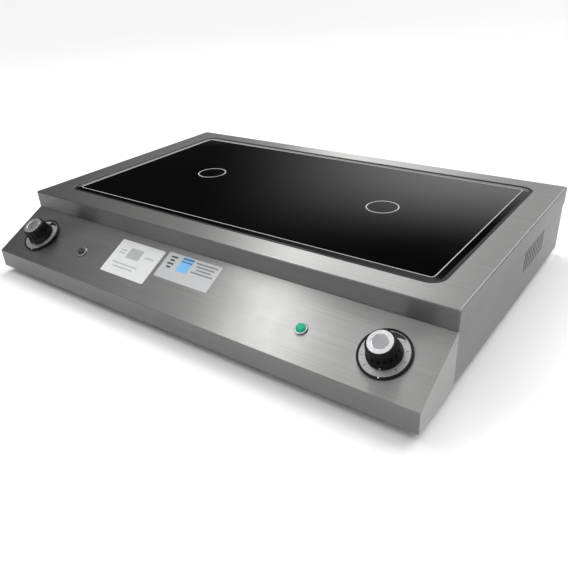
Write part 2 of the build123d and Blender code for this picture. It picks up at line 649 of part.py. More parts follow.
def coil_buffers(zone_x):
    """Waisted silicone buffers between the rails and the carrier."""
    made = []
    waist = Torus(BUFFER_RADIUS + BUFFER_GROOVE, 2 * BUFFER_GROOVE)
    for dx in (-BUFFER_OFFSET, BUFFER_OFFSET):
        for y in RAIL_YS.values():
            post = rod(BUFFER_RADIUS, RAIL_TOP_Z, CARRIER_Z, zone_x + dx, y)
            made.append(post - Pos(zone_x + dx, y, (RAIL_TOP_Z + CARRIER_Z) / 2) * waist)
    return made


def coil_rail(y):
    """Channel across the housing that carries the coils."""
    half = RAIL_WIDTH / 2
    rail = block(-WALL_IN_X, WALL_IN_X, y - half, y + half, RAIL_TOP_Z - RAIL_HEIGHT, RAIL_TOP_Z)
    rail = fillet(rail.edges().filter_by(Axis.X).group_by(Axis.Z)[-1], BEND_RADIUS)
    return rail - block(-HALF, HALF, y - half + SHEET, y + half - SHEET, BASE_Z, RAIL_TOP_Z - SHEET)


# ---------------------------------------------------------------- power electronics
def standoff_places(size, x, y):
    """The four corner fixings of a board."""
    reach_x = size[0] / 2 - STANDOFF_INSET
    reach_y = size[1] / 2 - STANDOFF_INSET
    return [(x + sx * reach_x, y + sy * reach_y) for sx in (-1, 1) for sy in (-1, 1)]


def board_plate(size, x, y):
    """Bare circuit board with its four fixing holes."""
    plate = slab(size, BOARD_CORNER, BOARD_Z, BOARD_TOP_Z, x, y)
    for px, py in standoff_places(size, x, y):
        plate -= rod(SCREW_RADIUS, BOARD_Z - SHEET, BOARD_TOP_Z + SHEET, px, py)
    return plate


def board_standoffs():
    """Pillars under the three boards."""
    boards = [(BOARD_SIZE, x, BOARD_Y) for x in ZONES.values()] + [(FILTER_SIZE, 0, FILTER_Y)]
    places = [place for board in boards for place in standoff_places(*board)]
    return [hexagon(STANDOFF_WIDTH, FLOOR_Z, BOARD_Z, x, y) for x, y in places]


def heat_sink(zone_x):
    """Extruded heat sink with fins along the air stream."""
    y0, y1 = SINK_FRONT_Y, SINK_REAR_Y
    x0, x1 = zone_x - SINK_WIDTH / 2, zone_x + SINK_WIDTH / 2
    body = block(x0, x1, y0, y1, BOARD_TOP_Z, SINK_TOP_Z)
    pitch = (SINK_WIDTH - FIN_THICKNESS) / (SINK_FINS - 1)
    for n in range(SINK_FINS - 1):
        left = x0 + FIN_THICKNESS + n * pitch
        right = left + pitch - FIN_THICKNESS
        body -= block(left, right, y0 - SHEET, y1 + SHEET, BOARD_TOP_Z + SINK_FLOOR, TOP_Z)
    return body


def transistor(face, side, y):
    """One power transistor on a side face of the heat sink, with its legs in the board."""
    half = TRANSISTOR_WIDTH / 2
    case_z = BOARD_TOP_Z + LEG_LENGTH
    outer = face + side * TRANSISTOR_THICKNESS
    case = block(face, outer, y - half, y + half, case_z, case_z + TRANSISTOR_HEIGHT)
    leg_x = face + side * (TRANSISTOR_THICKNESS - LEG_THICKNESS) / 2
    legs = []
    for shift in (-LEG_PITCH, 0, LEG_PITCH):
        y0 = y + shift - LEG_WIDTH / 2
        legs.append(block(leg_x, leg_x + side * LEG_THICKNESS, y0, y0 + LEG_WIDTH, BOARD_TOP_Z, case_z))
    return joined([case, *legs])


def transistors(zone_x):
    """Power transistors on both sides of a heat sink."""
    made = []
    for side in (-1, 1):
        for end in (-1, 1):
            y = (SINK_FRONT_Y + SINK_REAR_Y + end * TRANSISTOR_SPREAD) / 2
            made.append(transistor(zone_x + side * SINK_WIDTH / 2, side, y))
    return made


def capacitors(zone_x):
    """Two resonance capacitors and a bus capacitor on a power board."""
    places = [
        (RESONANCE_SIZE, -RESONANCE_SPREAD / 2),
        (RESONANCE_SIZE, RESONANCE_SPREAD / 2),
        (BUS_SIZE, 0),
    ]
    made = []
    for size, shift in places:
        case = Pos(zone_x + shift, CAPACITOR_Y, BOARD_TOP_Z) * Box(*size, align=ON_BASE)
        made.append(fillet(case.edges().group_by(Axis.Z)[-1], CASE_ROUNDING))
    return made


# ---------------------------------------------------------------- fans
def fan_place(zone_x):
    """Where a fan's own frame goes: its +Z blows backwards over the heat sink."""
    return Pos(zone_x, FAN_Y, FLOOR_Z + FAN_SIZE / 2) * Rot(-90, 0, 0)


def fan_frame(zone_x):
    """Square fan frame with a round duct, four struts and the motor's seat."""
    frame = extrude(RectangleRounded(FAN_SIZE, FAN_SIZE, FAN_CORNER), FAN_THICKNESS)
    frame -= rod(DUCT_RADIUS, -SHEET, FAN_THICKNESS + SHEET)
    half = STRUT_WIDTH / 2
    strut = block(0, DUCT_RADIUS + half, -half, half, 0, STRUT_DEPTH)
    struts = [Rot(0, 0, 45 + 90 * n) * strut for n in range(4)]
    frame = joined([frame, rod(ROTOR_HUB_RADIUS, 0, STRUT_DEPTH), *struts])
    frame -= rod(FAN_SHAFT_RADIUS + FAN_SHAFT_CLEARANCE, -SHEET, FAN_THICKNESS)
    corner = FAN_SIZE / 2 - FAN_HOLE_INSET
    for sx in (-1, 1):
        for sy in (-1, 1):
            frame -= rod(FAN_HOLE_RADIUS, -SHEET, FAN_THICKNESS + SHEET, sx * corner, sy * corner)
    return fan_place(zone_x) * frame


def fan_rotor(zone_x):
    """Fan wheel: hub, shaft and pitched blades."""
    hub_z0 = STRUT_DEPTH + ROTOR_GAP
    hub_z1 = FAN_THICKNESS - ROTOR_SETBACK
    hub = rod(ROTOR_HUB_RADIUS, hub_z0, hub_z1)
    hub = fillet(hub.edges().group_by(Axis.Z)[-1], ROTOR_HUB_ROUNDING)
    shaft = rod(FAN_SHAFT_RADIUS, ROTOR_GAP, hub_z0 + ROTOR_GAP)
    tip = DUCT_RADIUS - TIP_CLEARANCE
    root = ROTOR_HUB_RADIUS - ROTOR_HUB_ROUNDING
    blade = Box(tip - root + TIP_CLEARANCE, BLADE_CHORD, BLADE_THICKNESS)
    blade = Pos((root + tip) / 2, 0, (hub_z0 + hub_z1) / 2) * Rot(BLADE_PITCH, 0, 0) * blade
    blades = [Rot(0, 0, 360 / FAN_BLADES * n) * blade for n in range(FAN_BLADES)]
    wheel = joined([hub, *blades]) & rod(tip, hub_z0, hub_z1)
    return fan_place(zone_x) * (wheel + shaft)


# ---------------------------------------------------------------- mains side
def filter_choke():
    """Ring-core choke that lies on the filter board."""
    half = CHOKE_THICKNESS / 2
    return Pos(0, FILTER_Y - CHOKE_SHIFT, BOARD_TOP_Z + half) * Torus(CHOKE_RADIUS, half)


def terminal_block():
    """Mains terminal block on the base plate behind the gland."""
    y0, y1 = TERMINAL_FRONT_Y, TERMINAL_REAR_Y
    x0 = GLAND_X - TERMINAL_WIDTH / 2
    top_z = FLOOR_Z + TERMINAL_HEIGHT
    body = block(x0, x0 + TERMINAL_WIDTH, y0, y1, FLOOR_Z, top_z)
    body = chamfer(body.edges().filter_by(Axis.X).group_by(Axis.Z)[-1], TERMINAL_CHAMFER)
    way = Rot(90, 0, 0) * Cylinder(TERMINAL_HOLE_RADIUS, 2 * TERMINAL_DEPTH)
    for n in range(TERMINAL_POLES):
        x = x0 + (n + 0.5) * TERMINAL_WIDTH / TERMINAL_POLES
        screw_way = rod(TERMINAL_HOLE_RADIUS, top_z - TERMINAL_HEIGHT / 3, TOP_Z, x, (y0 + y1) / 2)
        body -= screw_way
        body -= Pos(x, (y0 + y1) / 2, FLOOR_Z + TERMINAL_HEIGHT / 3) * way
    return body


def cable_gland():
    """Gland body with its sealing dome, and the locknut inside the wall."""
    dome_top = GLAND_HEX_LENGTH + GLAND_DOME_LENGTH
    thread_end = -SHEET - GLAND_INSIDE
    dome = rod(GLAND_DOME_RADIUS, GLAND_HEX_LENGTH, dome_top)
    dome = fillet(dome.edges().group_by(Axis.Z)[-1], GLAND_ROUNDING)
    collar = hexagon(GLAND_HEX, 0, GLAND_HEX_LENGTH)
    body = joined([rod(GLAND_THREAD_RADIUS, thread_end, 0), collar, dome])
    body -= rod(CABLE_BORE_RADIUS, thread_end - SHEET, dome_top + SHEET)
    nut = hexagon(LOCKNUT_HEX, -SHEET - LOCKNUT_LENGTH, -SHEET)
    nut -= rod(GLAND_THREAD_RADIUS + THREAD_CLEARANCE, thread_end, SHEET)
    return [facing_back(piece, GLAND_X, GLAND_Z) for piece in (body, nut)]


def bonding_stud():
    """Bonding bolt: a free pin on a hexagon collar outside the rear wall, and a shank with its nut inside."""
    inner_end = -SHEET - STUD_NUT_HEIGHT
    pin = rod(STUD_RADIUS, STUD_COLLAR_HEIGHT, STUD_COLLAR_HEIGHT + STUD_FREE_LENGTH)
    pin = chamfer(pin.edges().group_by(Axis.Z)[-1], STUD_CHAMFER)
    shank = rod(STUD_SHANK_RADIUS, inner_end - SHEET, 0)
    bolt = joined([shank, hexagon(STUD_COLLAR_WIDTH, 0, STUD_COLLAR_HEIGHT), pin])
    nut = hexagon(STUD_NUT_WIDTH, inner_end, -SHEET)
    nut -= rod(STUD_SHANK_RADIUS + THREAD_CLEARANCE, inner_end - SHEET, 0)
    return [facing_back(piece, STUD_X, STUD_Z) for piece in (bolt, nut)]


# ---------------------------------------------------------------- console fittings
def dial_bezel(side):
    """Black rim round the dial, seated on the console."""
    rim = ring(BEZEL_RADIUS, BEZEL_RADIUS - BEZEL_WIDTH, 0, BEZEL_HEIGHT)
    return at_knob(fillet(rim.edges().group_by(Axis.Z)[-1], BEZEL_ROUNDING), side)


def dial_ring(side):
    """Bright dial plate inside the rim."""
    return at_knob(ring(BEZEL_RADIUS - BEZEL_WIDTH, DIAL_INNER_RADIUS, 0, DIAL_HEIGHT), side)


def knob_grip(side):
    """Tapered fluted grip with a seat for the cap, a bore for the shaft and room for the bush's nut."""
    skirt_z = GRIP_BASE_Z + GRIP_SKIRT
    shoulder_z = skirt_z + GRIP_SHOULDER
    outline = [
        (0, GRIP_BASE_Z),
        (GRIP_BASE_RADIUS, GRIP_BASE_Z),
        (GRIP_BASE_RADIUS, skirt_z),
        (GRIP_BASE_RADIUS - GRIP_SHOULDER_STEP, shoulder_z),
        (GRIP_TOP_RADIUS, GRIP_TOP_Z - GRIP_EDGE),
        (GRIP_TOP_RADIUS - GRIP_EDGE, GRIP_TOP_Z),
        (0, GRIP_TOP_Z),
    ]
    grip = revolve(Plane.XZ.location * make_face(Polyline(outline, close=True)), Axis.Z)
    reach = GRIP_TOP_RADIUS + FLUTE_RADIUS - FLUTE_DEPTH
    flute = rod(FLUTE_RADIUS, shoulder_z, GRIP_TOP_Z + SHEET, reach)
    for n in range(GRIP_FLUTES):
        grip -= Rot(0, 0, 360 / GRIP_FLUTES * (n + 0.5)) * flute
    grip -= rod(CAP_RADIUS, GRIP_TOP_Z - CAP_SEAT_DEPTH, GRIP_TOP_Z + SHEET)
    grip -= rod(SHAFT_RADIUS + SHAFT_CLEARANCE, 0, SHAFT_TOP_Z)
    return at_knob(grip - rod(NUT_ROOM_RADIUS, 0, GRIP_BASE_Z + NUT_ROOM_HEIGHT), side)


def knob_cap(side):
    """Bright cap in the grip's end, dished in the middle."""
    cap = rod(CAP_RADIUS, GRIP_TOP_Z - CAP_SEAT_DEPTH, CAP_TOP_Z)
    cap = fillet(cap.edges().group_by(Axis.Z)[-1], CAP_ROUNDING)
    dish = Pos(0, 0, CAP_TOP_Z - CAP_DISH_DEPTH + CAP_DISH_RADIUS) * Sphere(CAP_DISH_RADIUS)
    return at_knob(cap - dish, side)


def potentiometer(side):
    """Power regulator behind the console: case with tags, threaded bush, and its nut on the outside."""
    case_z = -SHEET - POT_DEPTH
    case = rod(POT_RADIUS, case_z, -SHEET)
    bush = rod(BUSH_RADIUS, -SHEET, BUSH_LENGTH)
    half = POT_TAG_WIDTH / 2
    tags = []
    for shift in (-POT_TAG_PITCH, 0, POT_TAG_PITCH):
        x0, x1 = shift - half, shift + half
        y0, y1 = -POT_RADIUS - POT_TAG_LENGTH, -POT_RADIUS / 2
        tags.append(block(x0, x1, y0, y1, case_z + POT_WALL, case_z + POT_WALL + POT_TAG_THICKNESS))
    well = rod(SHAFT_RADIUS + SHAFT_CLEARANCE, case_z + POT_WALL, BUSH_LENGTH + SHEET)
    body = joined([case, bush, *tags]) - well
    nut = hexagon(BUSH_NUT_WIDTH, 0, BUSH_NUT_HEIGHT)
    nut -= rod(BUSH_RADIUS + THREAD_CLEARANCE, -SHEET, BUSH_NUT_HEIGHT + SHEET)
    return [at_knob(body, side), at_knob(nut, side)]


def pot_shaft(side):
    """Regulator shaft, from its case into the grip."""
    return at_knob(rod(SHAFT_RADIUS, -SHEET - POT_DEPTH + POT_WALL + SHAFT_END_GAP, SHAFT_TOP_Z), side)


def lamp_lens(side):
    """Domed lens of a pilot lamp."""
    lens = rod(LENS_RADIUS, -LENS_DEPTH, LENS_HEIGHT)
    return at_lamp(fillet(lens.edges().group_by(Axis.Z)[-1], LENS_ROUNDING), side)


def lamp_housings():
    """Pilot lamps' bodies, each with its bright bezel, and a nut behind the console."""
    made = []
    nut_radius = LAMP_BODY_RADIUS + LAMP_NUT_WIDTH
    for side in (-1, 1):
        flange = rod(LAMP_BEZEL_RADIUS, 0, LAMP_BEZEL_HEIGHT)
        flange = fillet(flange.edges().group_by(Axis.Z)[-1], BEZEL_ROUNDING)
        body = flange + rod(LAMP_BODY_RADIUS, -LAMP_BODY_DEPTH, 0)
        body -= rod(LENS_RADIUS, -LENS_DEPTH, LAMP_BEZEL_HEIGHT + SHEET)
        nut = ring(nut_radius, LAMP_BODY_RADIUS + THREAD_CLEARANCE, -SHEET - LAMP_NUT_LENGTH, -SHEET)
        made += [at_lamp(body, side), at_lamp(nut, side)]
    return made


def label(size, place):
    """Thin label stuck on the slope."""
    return on_console(slab(size, LABEL_CORNER, 0, LABEL_THICKNESS), *place)


# ---------------------------------------------------------------- the whole assembly
def build():
    """Every node by name."""
    nodes = {
        "deck_frame": deck_frame(),
        "glass_ledge": glass_ledge(),
        "glass_top": glass_top(),
        "glass_seal": glass_seal(),
        "console_panel": console_panel(),
        "side_panel_left": side_panel(-1),
        "side_panel_right": side_panel(1),
        "rear_panel": rear_panel(),
        "base_plate": base_plate(),
        "bottom_screws": bottom_screws(),
        "feet": feet(),
        "filter_board": board_plate(FILTER_SIZE, 0, FILTER_Y),
        "filter_choke": filter_choke(),
        "board_standoffs": board_standoffs(),
        "terminal_block": terminal_block(),
        "cable_gland": cable_gland(),
        "bonding_stud": bonding_stud(),
        "lamp_housings": lamp_housings(),
        "label_notice": label(NOTICE_SIZE, NOTICE_PLACE),
        "label_info": label(INFO_SIZE, INFO_PLACE),
    }
    for place, y in RAIL_YS.items():
        nodes[f"coil_rail_{place}"] = coil_rail(y)
    for place, x in ZONES.items():
        nodes[f"coil_winding_{place}"] = coil_winding(x)
        nodes[f"coil_carrier_{place}"] = coil_carrier(x)
        nodes[f"coil_ferrites_{place}"] = coil_ferrites(x)
        nodes[f"mica_disc_{place}"] = mica_disc(x)
        nodes[f"glass_sensor_{place}"] = glass_sensor(x)
        nodes[f"coil_buffers_{place}"] = coil_buffers(x)
        nodes[f"power_board_{place}"] = board_plate(BOARD_SIZE, x, BOARD_Y)
        nodes[f"heat_sink_{place}"] = heat_sink(x)
        nodes[f"transistors_{place}"] = transistors(x)
        nodes[f"capacitors_{place}"] = capacitors(x)
        nodes[f"fan_frame_{place}"] = fan_frame(x)
        nodes[f"fan_rotor_{place}"] = fan_rotor(x)
    for place, side in (("left", -1), ("right", 1)):
        nodes[f"dial_bezel_{place}"] = dial_bezel(side)
        nodes[f"dial_ring_{place}"] = dial_ring(side)
        nodes[f"knob_grip_{place}"] = knob_grip(side)
        nodes[f"knob_cap_{place}"] = knob_cap(side)
        nodes[f"potentiometer_{place}"] = potentiometer(side)
        nodes[f"pot_shaft_{place}"] = pot_shaft(side)
        nodes[f"lamp_lens_{place}"] = lamp_lens(side)
    return nodes


def main():
    """Writes one STEP file for each node."""
    os.makedirs("parts", exist_ok=True)
    for name, shape in build().items():
        pieces = shape if isinstance(shape, list) else [shape]
        solids = [solid for piece in pieces for solid in piece.solids()]
        export_step(Compound(children=solids), f"parts/{name}.step")


if __name__ == "__main__":
    main()
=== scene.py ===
import json
import math

import bmesh
import bpy
from bpy.props import FloatProperty, FloatVectorProperty, IntProperty, PointerProperty
from mathutils import Matrix, Vector


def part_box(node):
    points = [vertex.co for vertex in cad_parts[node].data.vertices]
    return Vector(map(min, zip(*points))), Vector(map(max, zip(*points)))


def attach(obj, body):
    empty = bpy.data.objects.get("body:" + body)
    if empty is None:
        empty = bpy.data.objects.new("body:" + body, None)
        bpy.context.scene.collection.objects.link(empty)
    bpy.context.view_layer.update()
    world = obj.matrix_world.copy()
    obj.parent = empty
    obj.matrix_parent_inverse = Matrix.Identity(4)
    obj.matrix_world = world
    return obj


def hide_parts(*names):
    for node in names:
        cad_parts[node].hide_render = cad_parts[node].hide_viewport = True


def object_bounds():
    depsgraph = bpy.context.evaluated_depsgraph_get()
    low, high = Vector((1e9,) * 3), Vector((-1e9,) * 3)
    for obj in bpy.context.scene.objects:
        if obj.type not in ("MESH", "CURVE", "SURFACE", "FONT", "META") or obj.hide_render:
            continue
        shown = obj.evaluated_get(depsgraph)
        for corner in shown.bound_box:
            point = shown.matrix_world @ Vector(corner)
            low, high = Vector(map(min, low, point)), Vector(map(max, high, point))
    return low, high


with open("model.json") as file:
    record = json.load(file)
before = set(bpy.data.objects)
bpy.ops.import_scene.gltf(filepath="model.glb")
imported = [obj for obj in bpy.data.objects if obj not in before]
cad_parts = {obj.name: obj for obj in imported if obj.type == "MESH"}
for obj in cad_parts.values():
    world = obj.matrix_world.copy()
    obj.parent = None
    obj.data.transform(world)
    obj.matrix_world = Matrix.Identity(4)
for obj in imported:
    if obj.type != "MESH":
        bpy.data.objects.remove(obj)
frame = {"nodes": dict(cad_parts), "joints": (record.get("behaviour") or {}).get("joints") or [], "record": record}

bl_info = {
    "name": "Induction Hob Finisher",
    "version": (1, 0, 0),
    "blender": (4, 5, 0),
    "location": "3D View > Sidebar > Hob",
    "description": "Builds the visible pieces and finishes of a two-zone table-top induction hob",
    "category": "Add Mesh",
}

CAD_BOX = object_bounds()
MM = 0.001
NODES = frame["nodes"]
JOINTS = {joint["name"]: joint for joint in frame["joints"]}
SIDES = {"left": -1, "right": 1}
X_AXIS = Vector((1, 0, 0))
FRONT = Vector((0, -1, 0))
CONSOLE_NORMAL = -Vector(JOINTS["knob_right_turn"]["axis"])
CONSOLE_UP = CONSOLE_NORMAL.cross(X_AXIS)
KNOB_PLACES = {side: Vector(JOINTS[f"knob_{side}_turn"]["pos_m"]) for side in SIDES}

# ---------------------------------------------------------------- fixed sizes: metres, degrees
SAME_POINT = 1e-6
FACING = 0.9
ACROSS = 0.7
LEVEL = 0.9999
HIGHLIGHT_LINE_FACE_AREA = 1e-3
SLIVER = 0.01 * MM
OVERCUT = 1 * MM
CUT_THROUGH = 5

# folded steel
LIP_FLANGE = 14 * MM
BUSH_HOLE = 5 * MM
LAMP_HOLE = 7.2 * MM
SIDE_VENTS = 10
SIDE_VENT_Y = 110 * MM
SIDE_VENT_Z = 62 * MM
REAR_VENTS = 22
REAR_VENT_Z = 48.25 * MM
REAR_LIP_INSET = 14 * MM
GLAND_HOLE = 12.75 * MM
STUD_HOLE = 2.55 * MM

# dials: steps, a dark wedge near the top that is a painted reflection of the black grip, and the index dot
RIM_ROUNDING = 0.8 * MM
DIAL_ROUNDING = 0.3 * MM
DIAL_START = 235.0
DIAL_SWEEP = 270.0
INDEX_ANGLE = 283.0
TICK_LENGTH = 3 * MM
LONG_TICK = 1.35
TICK_WIDTH = 0.7 * MM
TICK_HEIGHT = 0.05 * MM
PAINTED_REFLECTION_STEPS = 24
PAINTED_REFLECTION_START = 94.0
PAINTED_REFLECTION_SWEEP = 34.0
PAINTED_REFLECTION_LENGTH = 7.8 * MM
PAINTED_REFLECTION_TAPER = 0.75

# knobs
SKIRT = 3 * MM
SHOULDER = 4 * MM
GRIP_TAPER = 1.2 * MM
GRIP_ROUNDING = 0.35 * MM
NUT_ROOM = 9 * MM
NUT_ROOM_HEIGHT = 3 * MM
SHAFT_BORE = 3.05 * MM
SHAFT_TOP = 16 * MM
FLUTES = 16
FLUTE_RADIUS = 2.3 * MM
FLUTE_DEPTH = 0.6 * MM
CAP_SEAT = 2.4 * MM
CAP_DEPTH = 2.3 * MM
CAP_GAP = 0.05 * MM
CAP_BAND = 4.8 * MM
CAP_STEP = 0.5 * MM
CAP_RECESS = 0.5 * MM
CAP_FLOOR_INSET = 0.2 * MM
CAP_ROUNDING = 0.5 * MM
POINTER_WIDTH = 1.2 * MM
POINTER_DEPTH = 1.4 * MM
POINTER_LENGTH = 2.4 * MM
POINTER_PROUD = 0.06 * MM
POINTER_OVERLAP = 0.05 * MM
POINTER_ROUNDING = 0.12 * MM

# pilot lamps
LENS_RADIUS = 6.2 * MM
LENS_HEIGHT = 4.2 * MM
LENS_DEPTH = 4 * MM
LENS_ROUNDING = 2.4 * MM

# labels; printed fields are (x, y, width, height) in millimetres from the label's middle
LABEL_FILM = 0.3 * MM
LABEL_CORNER = 2 * MM
LABEL_ROUNDING = 0.08 * MM
INK = 0.03 * MM
INK_CORNER = 0.4 * MM
NOTICE_PRINT = (
    (-4, 10, 26, 18), (-28, 12, 12, 2), (-28, 7, 12, 2),
    (26, 10, 18, 2), (-8, -10, 50, 2), (-8, -16, 40, 2),
)
INFO_FIELD = ((-10, 7.5, 20, 24),)
INFO_BAND = ((-10, 17, 20, 3), (-10, 12, 20, 2))
INFO_LINES = ((24, 16, 38, 2.1), (24, 11, 32, 2.1), (24, 6, 26, 2.1), (24, 1, 38, 2.1))
INFO_MARKS = ((-35, 15, 12, 2.8), (-35, 9.4, 8, 2.8), (-35, 3.8, 12, 2.8), (-35, -1.8, 8, 2.8))

# coil windings
WINDING_INNER = 28.5 * MM
WINDING_PITCH = 4.8 * MM
WINDING_FILL = 0.49
WINDING_STEPS = 72

# painted shade and painted light: the side walls, the deck's side bands, the deck's front band and the console's
# lip get darker copies of the deck's steel, and the console's cheeks a lighter one; then the stretches of the
# brush lines
WALL_PAINTED_SHADE = 0.74
BAND_PAINTED_SHADE = 0.55
LIP_PAINTED_SHADE = 0.75
CHEEK_PAINTED_LIGHT = 1.15
GRAIN_ALONG_X = (9.0, 2600.0, 2600.0)
GRAIN_ALONG_Y = (2600.0, 9.0, 2600.0)

# studio: spans of direction over which the air changes, lights and camera
AIR_RISE = (-0.70, -0.25)
AIR_FALL = (0.0, 0.4)
AIR_RIGHT = 0.15
AIR_LOW = (0.30, 0.44)
AIR_HIGH = (0.46, 0.72)
AIR_HORIZON = (0.14, 0.28)
NEAR_PLACE = (-0.95, -0.15, 1.7)
NEAR_AXIS = (0, 1, 0)
NEAR_SIZE = (0.27, 1.8)
FAR_PLACE = (-0.82, 1.05, 1.9)
FAR_AXIS = (-0.35, 0.9, 0.1)
FAR_SIZE = (0.75, 0.95)
SUN_FROM = (0.30, 0.60, 0.74)
SUN_ANGLE = 45.0
FLOOR_SIZE = 60.0
SENSOR_MM = 36.0
LENS_MM = 37.96
CAMERA_PLACE = (0.5330, -0.6760, 0.4297)
CAMERA_HEADING = -37.505
CAMERA_DROP = 28.657
CAMERA_ROLL = -3.12


# ---------------------------------------------------------------- sizes and colours
def length(name, default, description):
    """A length property in metres, from a default in millimetres."""
    return FloatProperty(
        name=name, description=description, default=default * MM, min=0, unit="LENGTH"
    )


def colour(name, default, description):
    """A colour property."""
    return FloatVectorProperty(
        name=name, description=description, default=default, subtype="COLOR", size=3, min=0, max=1
    )


def strength(name, default, description, **settings):
    """A strength that is zero or more."""
    return FloatProperty(name=name, description=description, default=default, min=0, **settings)


class HobSheetSizes(bpy.types.PropertyGroup):
    """Sizes of the folded steel pieces"""

    thickness: length("Sheet", 1.5, "Thickness of the stainless sheet")
    fold_radius: length("Fold radius", 2.5, "Outer radius of the deck's folds")
    console_radius: length("Console edge", 1.8, "Radius of the console's folded edges")
    edge_radius: length("Broken edge", 0.25, "Rounding of the cut edges")
    opening_radius: length("Cut-out corner", 20, "Corner radius of the cut-out for the glass")
    vent_width: length("Slot width", 3.5, "Width of an air slot")
    vent_pitch: length("Slot pitch", 9, "Distance from one air slot to the next")
    side_vent_height: length("Side slot height", 32, "Height of the side walls' air slots")
    rear_vent_height: length("Rear slot height", 40, "Height of the rear wall's air slots")
    flange: length("Flange", 12, "Width of the walls' turned-in edges")


class HobGlassSizes(bpy.types.PropertyGroup):
    """Sizes of the glass plate and its printed zone marks"""

    corner_radius: length("Corner radius", 15, "Corner radius of the glass plate")
    bevel_width: length("Bevel width", 9, "Width of the bevel round the top")
    bevel_drop: length("Bevel drop", 0.7, "Height lost over the bevel")
    # the line along the bevel's inner edge is a painted highlight of the bevel's edge
    line_width: length("Ground line", 1.3, "Width of the bright line along the bevel's inner edge")
    ring_radius: length("Zone ring", 23, "Radius of the ring at the middle of each zone")
    ring_width: length("Ring width", 1.8, "Width of the printed ring")
    print_thickness: length("Print", 0.04, "Thickness of the printed enamel")


class HobKnobSizes(bpy.types.PropertyGroup):
    """Sizes of a knob and its dial"""

    rim_radius: length("Rim radius", 30.5, "Outer radius of the black rim")
    rim_width: length("Rim width", 2.6, "Width of the black rim")
    rim_height: length("Rim height", 3.4, "Height of the black rim above the console")
    dial_height: length("Dial height", 2.4, "Height of the bright dial above the console")
    dial_inner: length("Dial hole", 9, "Radius of the hole in the dial")
    grip_radius: length("Skirt radius", 20.2, "Radius of the grip's skirt")
    grip_top_radius: length("Grip radius", 17, "Radius of the grip near its top")
    grip_base: length("Grip base", 2.9, "Height at which the grip starts")
    grip_top: length("Grip top", 24.5, "Height of the grip's end")
    cap_radius: length("Cap radius", 14.2, "Radius of the bright cap")
    cap_top: length("Cap top", 26, "Height of the bright cap")
    tick_count: IntProperty(
        name="Ticks", description="Power steps marked on the dial", default=10, min=2
    )


class HobColours(bpy.types.PropertyGroup):
    """Colours of the finishes"""

    steel: colour("Steel", (0.34, 0.34, 0.335), "Brushed stainless steel")
    glass: colour("Glass", (0.0012, 0.0012, 0.0015), "Black glass-ceramic")
    # also the colour of the painted highlight line along the glass bevel
    enamel: colour("Enamel", (0.42, 0.43, 0.44), "Printed zone marks")
    black_plastic: colour("Black plastic", (0.0025, 0.0025, 0.003), "Moulded black plastic")
    lit_lens: colour("Lit lens", (0.0, 0.25, 0.14), "Pilot lamp that is on")
    label_blue: colour("Label blue", (0.16, 0.45, 0.78), "Blue field on the label")
    floor: colour("Floor", (0.9, 0.9, 0.9), "Studio floor")


class HobLightSettings(bpy.types.PropertyGroup):
    """Studio light"""

    air_dark: strength("Dark air", 0.012, "Brightness low on the room's dark side")
    air_bright: strength("Bright air", 0.9, "Brightness added low on its bright side")
    ceiling_dark: strength("Dark ceiling", 0.95, "Brightness high on the dark side")
    ceiling_bright: strength("Bright ceiling", 0.25, "Brightness added high on the bright side")
    strip: strength("Strips", 9, "Power of each strip softbox", unit="POWER")
    sun: strength("Overhead", 1.3, "Strength of the even overhead light")


# ---------------------------------------------------------------- modelling helpers
def only(obj):
    """Leaves just this object selected and active."""
    bpy.ops.object.select_all(action="DESELECT")
    obj.select_set(True)
    bpy.context.view_layer.objects.active = obj


def named(name):
    """Names the primitive that was just added and applies its place."""
    obj = bpy.context.object
    obj.name = name
    obj.data.name = name
    only(obj)
    bpy.ops.object.transform_apply(location=True, rotation=True, scale=True)
    return obj


def add_block(name, low, high):
    """A cube primitive stretched between two corners."""
    bpy.ops.object.select_all(action="DESELECT")
    low, high = Vector(low), Vector(high)
    bpy.ops.mesh.primitive_cube_add(size=1, location=(low + high) / 2, scale=high - low)
    return named(name)


def add_disc(name, radius, z, vertices):
    """A filled circle primitive at height z, facing up."""
    bpy.ops.object.select_all(action="DESELECT")
    bpy.ops.mesh.primitive_circle_add(
        vertices=vertices, radius=radius, fill_type="NGON", location=(0, 0, z)
    )
    return named(name)


def add_tube(name, radius, z0, z1, vertices):
    """A cylinder primitive from z0 to z1."""
    bpy.ops.object.select_all(action="DESELECT")
    bpy.ops.mesh.primitive_cylinder_add(
        vertices=vertices, radius=radius, depth=z1 - z0, location=(0, 0, (z0 + z1) / 2)
    )
    return named(name)


SELECT_MODES = {"faces": "FACE", "edges": "EDGE", "verts": "VERT"}


def edit(obj, kind):
    """Opens an object in edit mode for faces, edges or vertices, with nothing selected."""
    only(obj)
    bpy.ops.object.mode_set(mode="EDIT")
    bpy.ops.mesh.select_mode(type=SELECT_MODES[kind])
    bpy.ops.mesh.select_all(action="DESELECT")


def close():
    """Leaves edit mode."""
    bpy.ops.object.mode_set(mode="OBJECT")


def middle(item):
    """Middle point of a face, edge or vertex."""
    if isinstance(item, bmesh.types.BMVert):
        return item.co
    if isinstance(item, bmesh.types.BMFace):
        return item.calc_center_median()
    return (item.verts[0].co + item.verts[1].co) / 2


def pick(obj, kind, test):
    """Selects only the faces, edges or vertices that pass a test, in edit mode."""
    mesh = bmesh.from_edit_mesh(obj.data)
    bpy.ops.mesh.select_mode(type=SELECT_MODES[kind])
    bpy.ops.mesh.select_all(action="DESELECT")
    found = [item for item in getattr(mesh, kind) if test(item)]
    for item in found:
        item.select_set(True)
    mesh.select_flush_mode()
    bmesh.update_edit_mesh(obj.data)
    if not found:
        raise RuntimeError(f"nothing to select on {obj.name}")


def along(edge, axis):
    """Whether an edge runs along an axis."""
    direction = (edge.verts[1].co - edge.verts[0].co).normalized()
    return abs(direction.dot(Vector(axis))) > 0.999


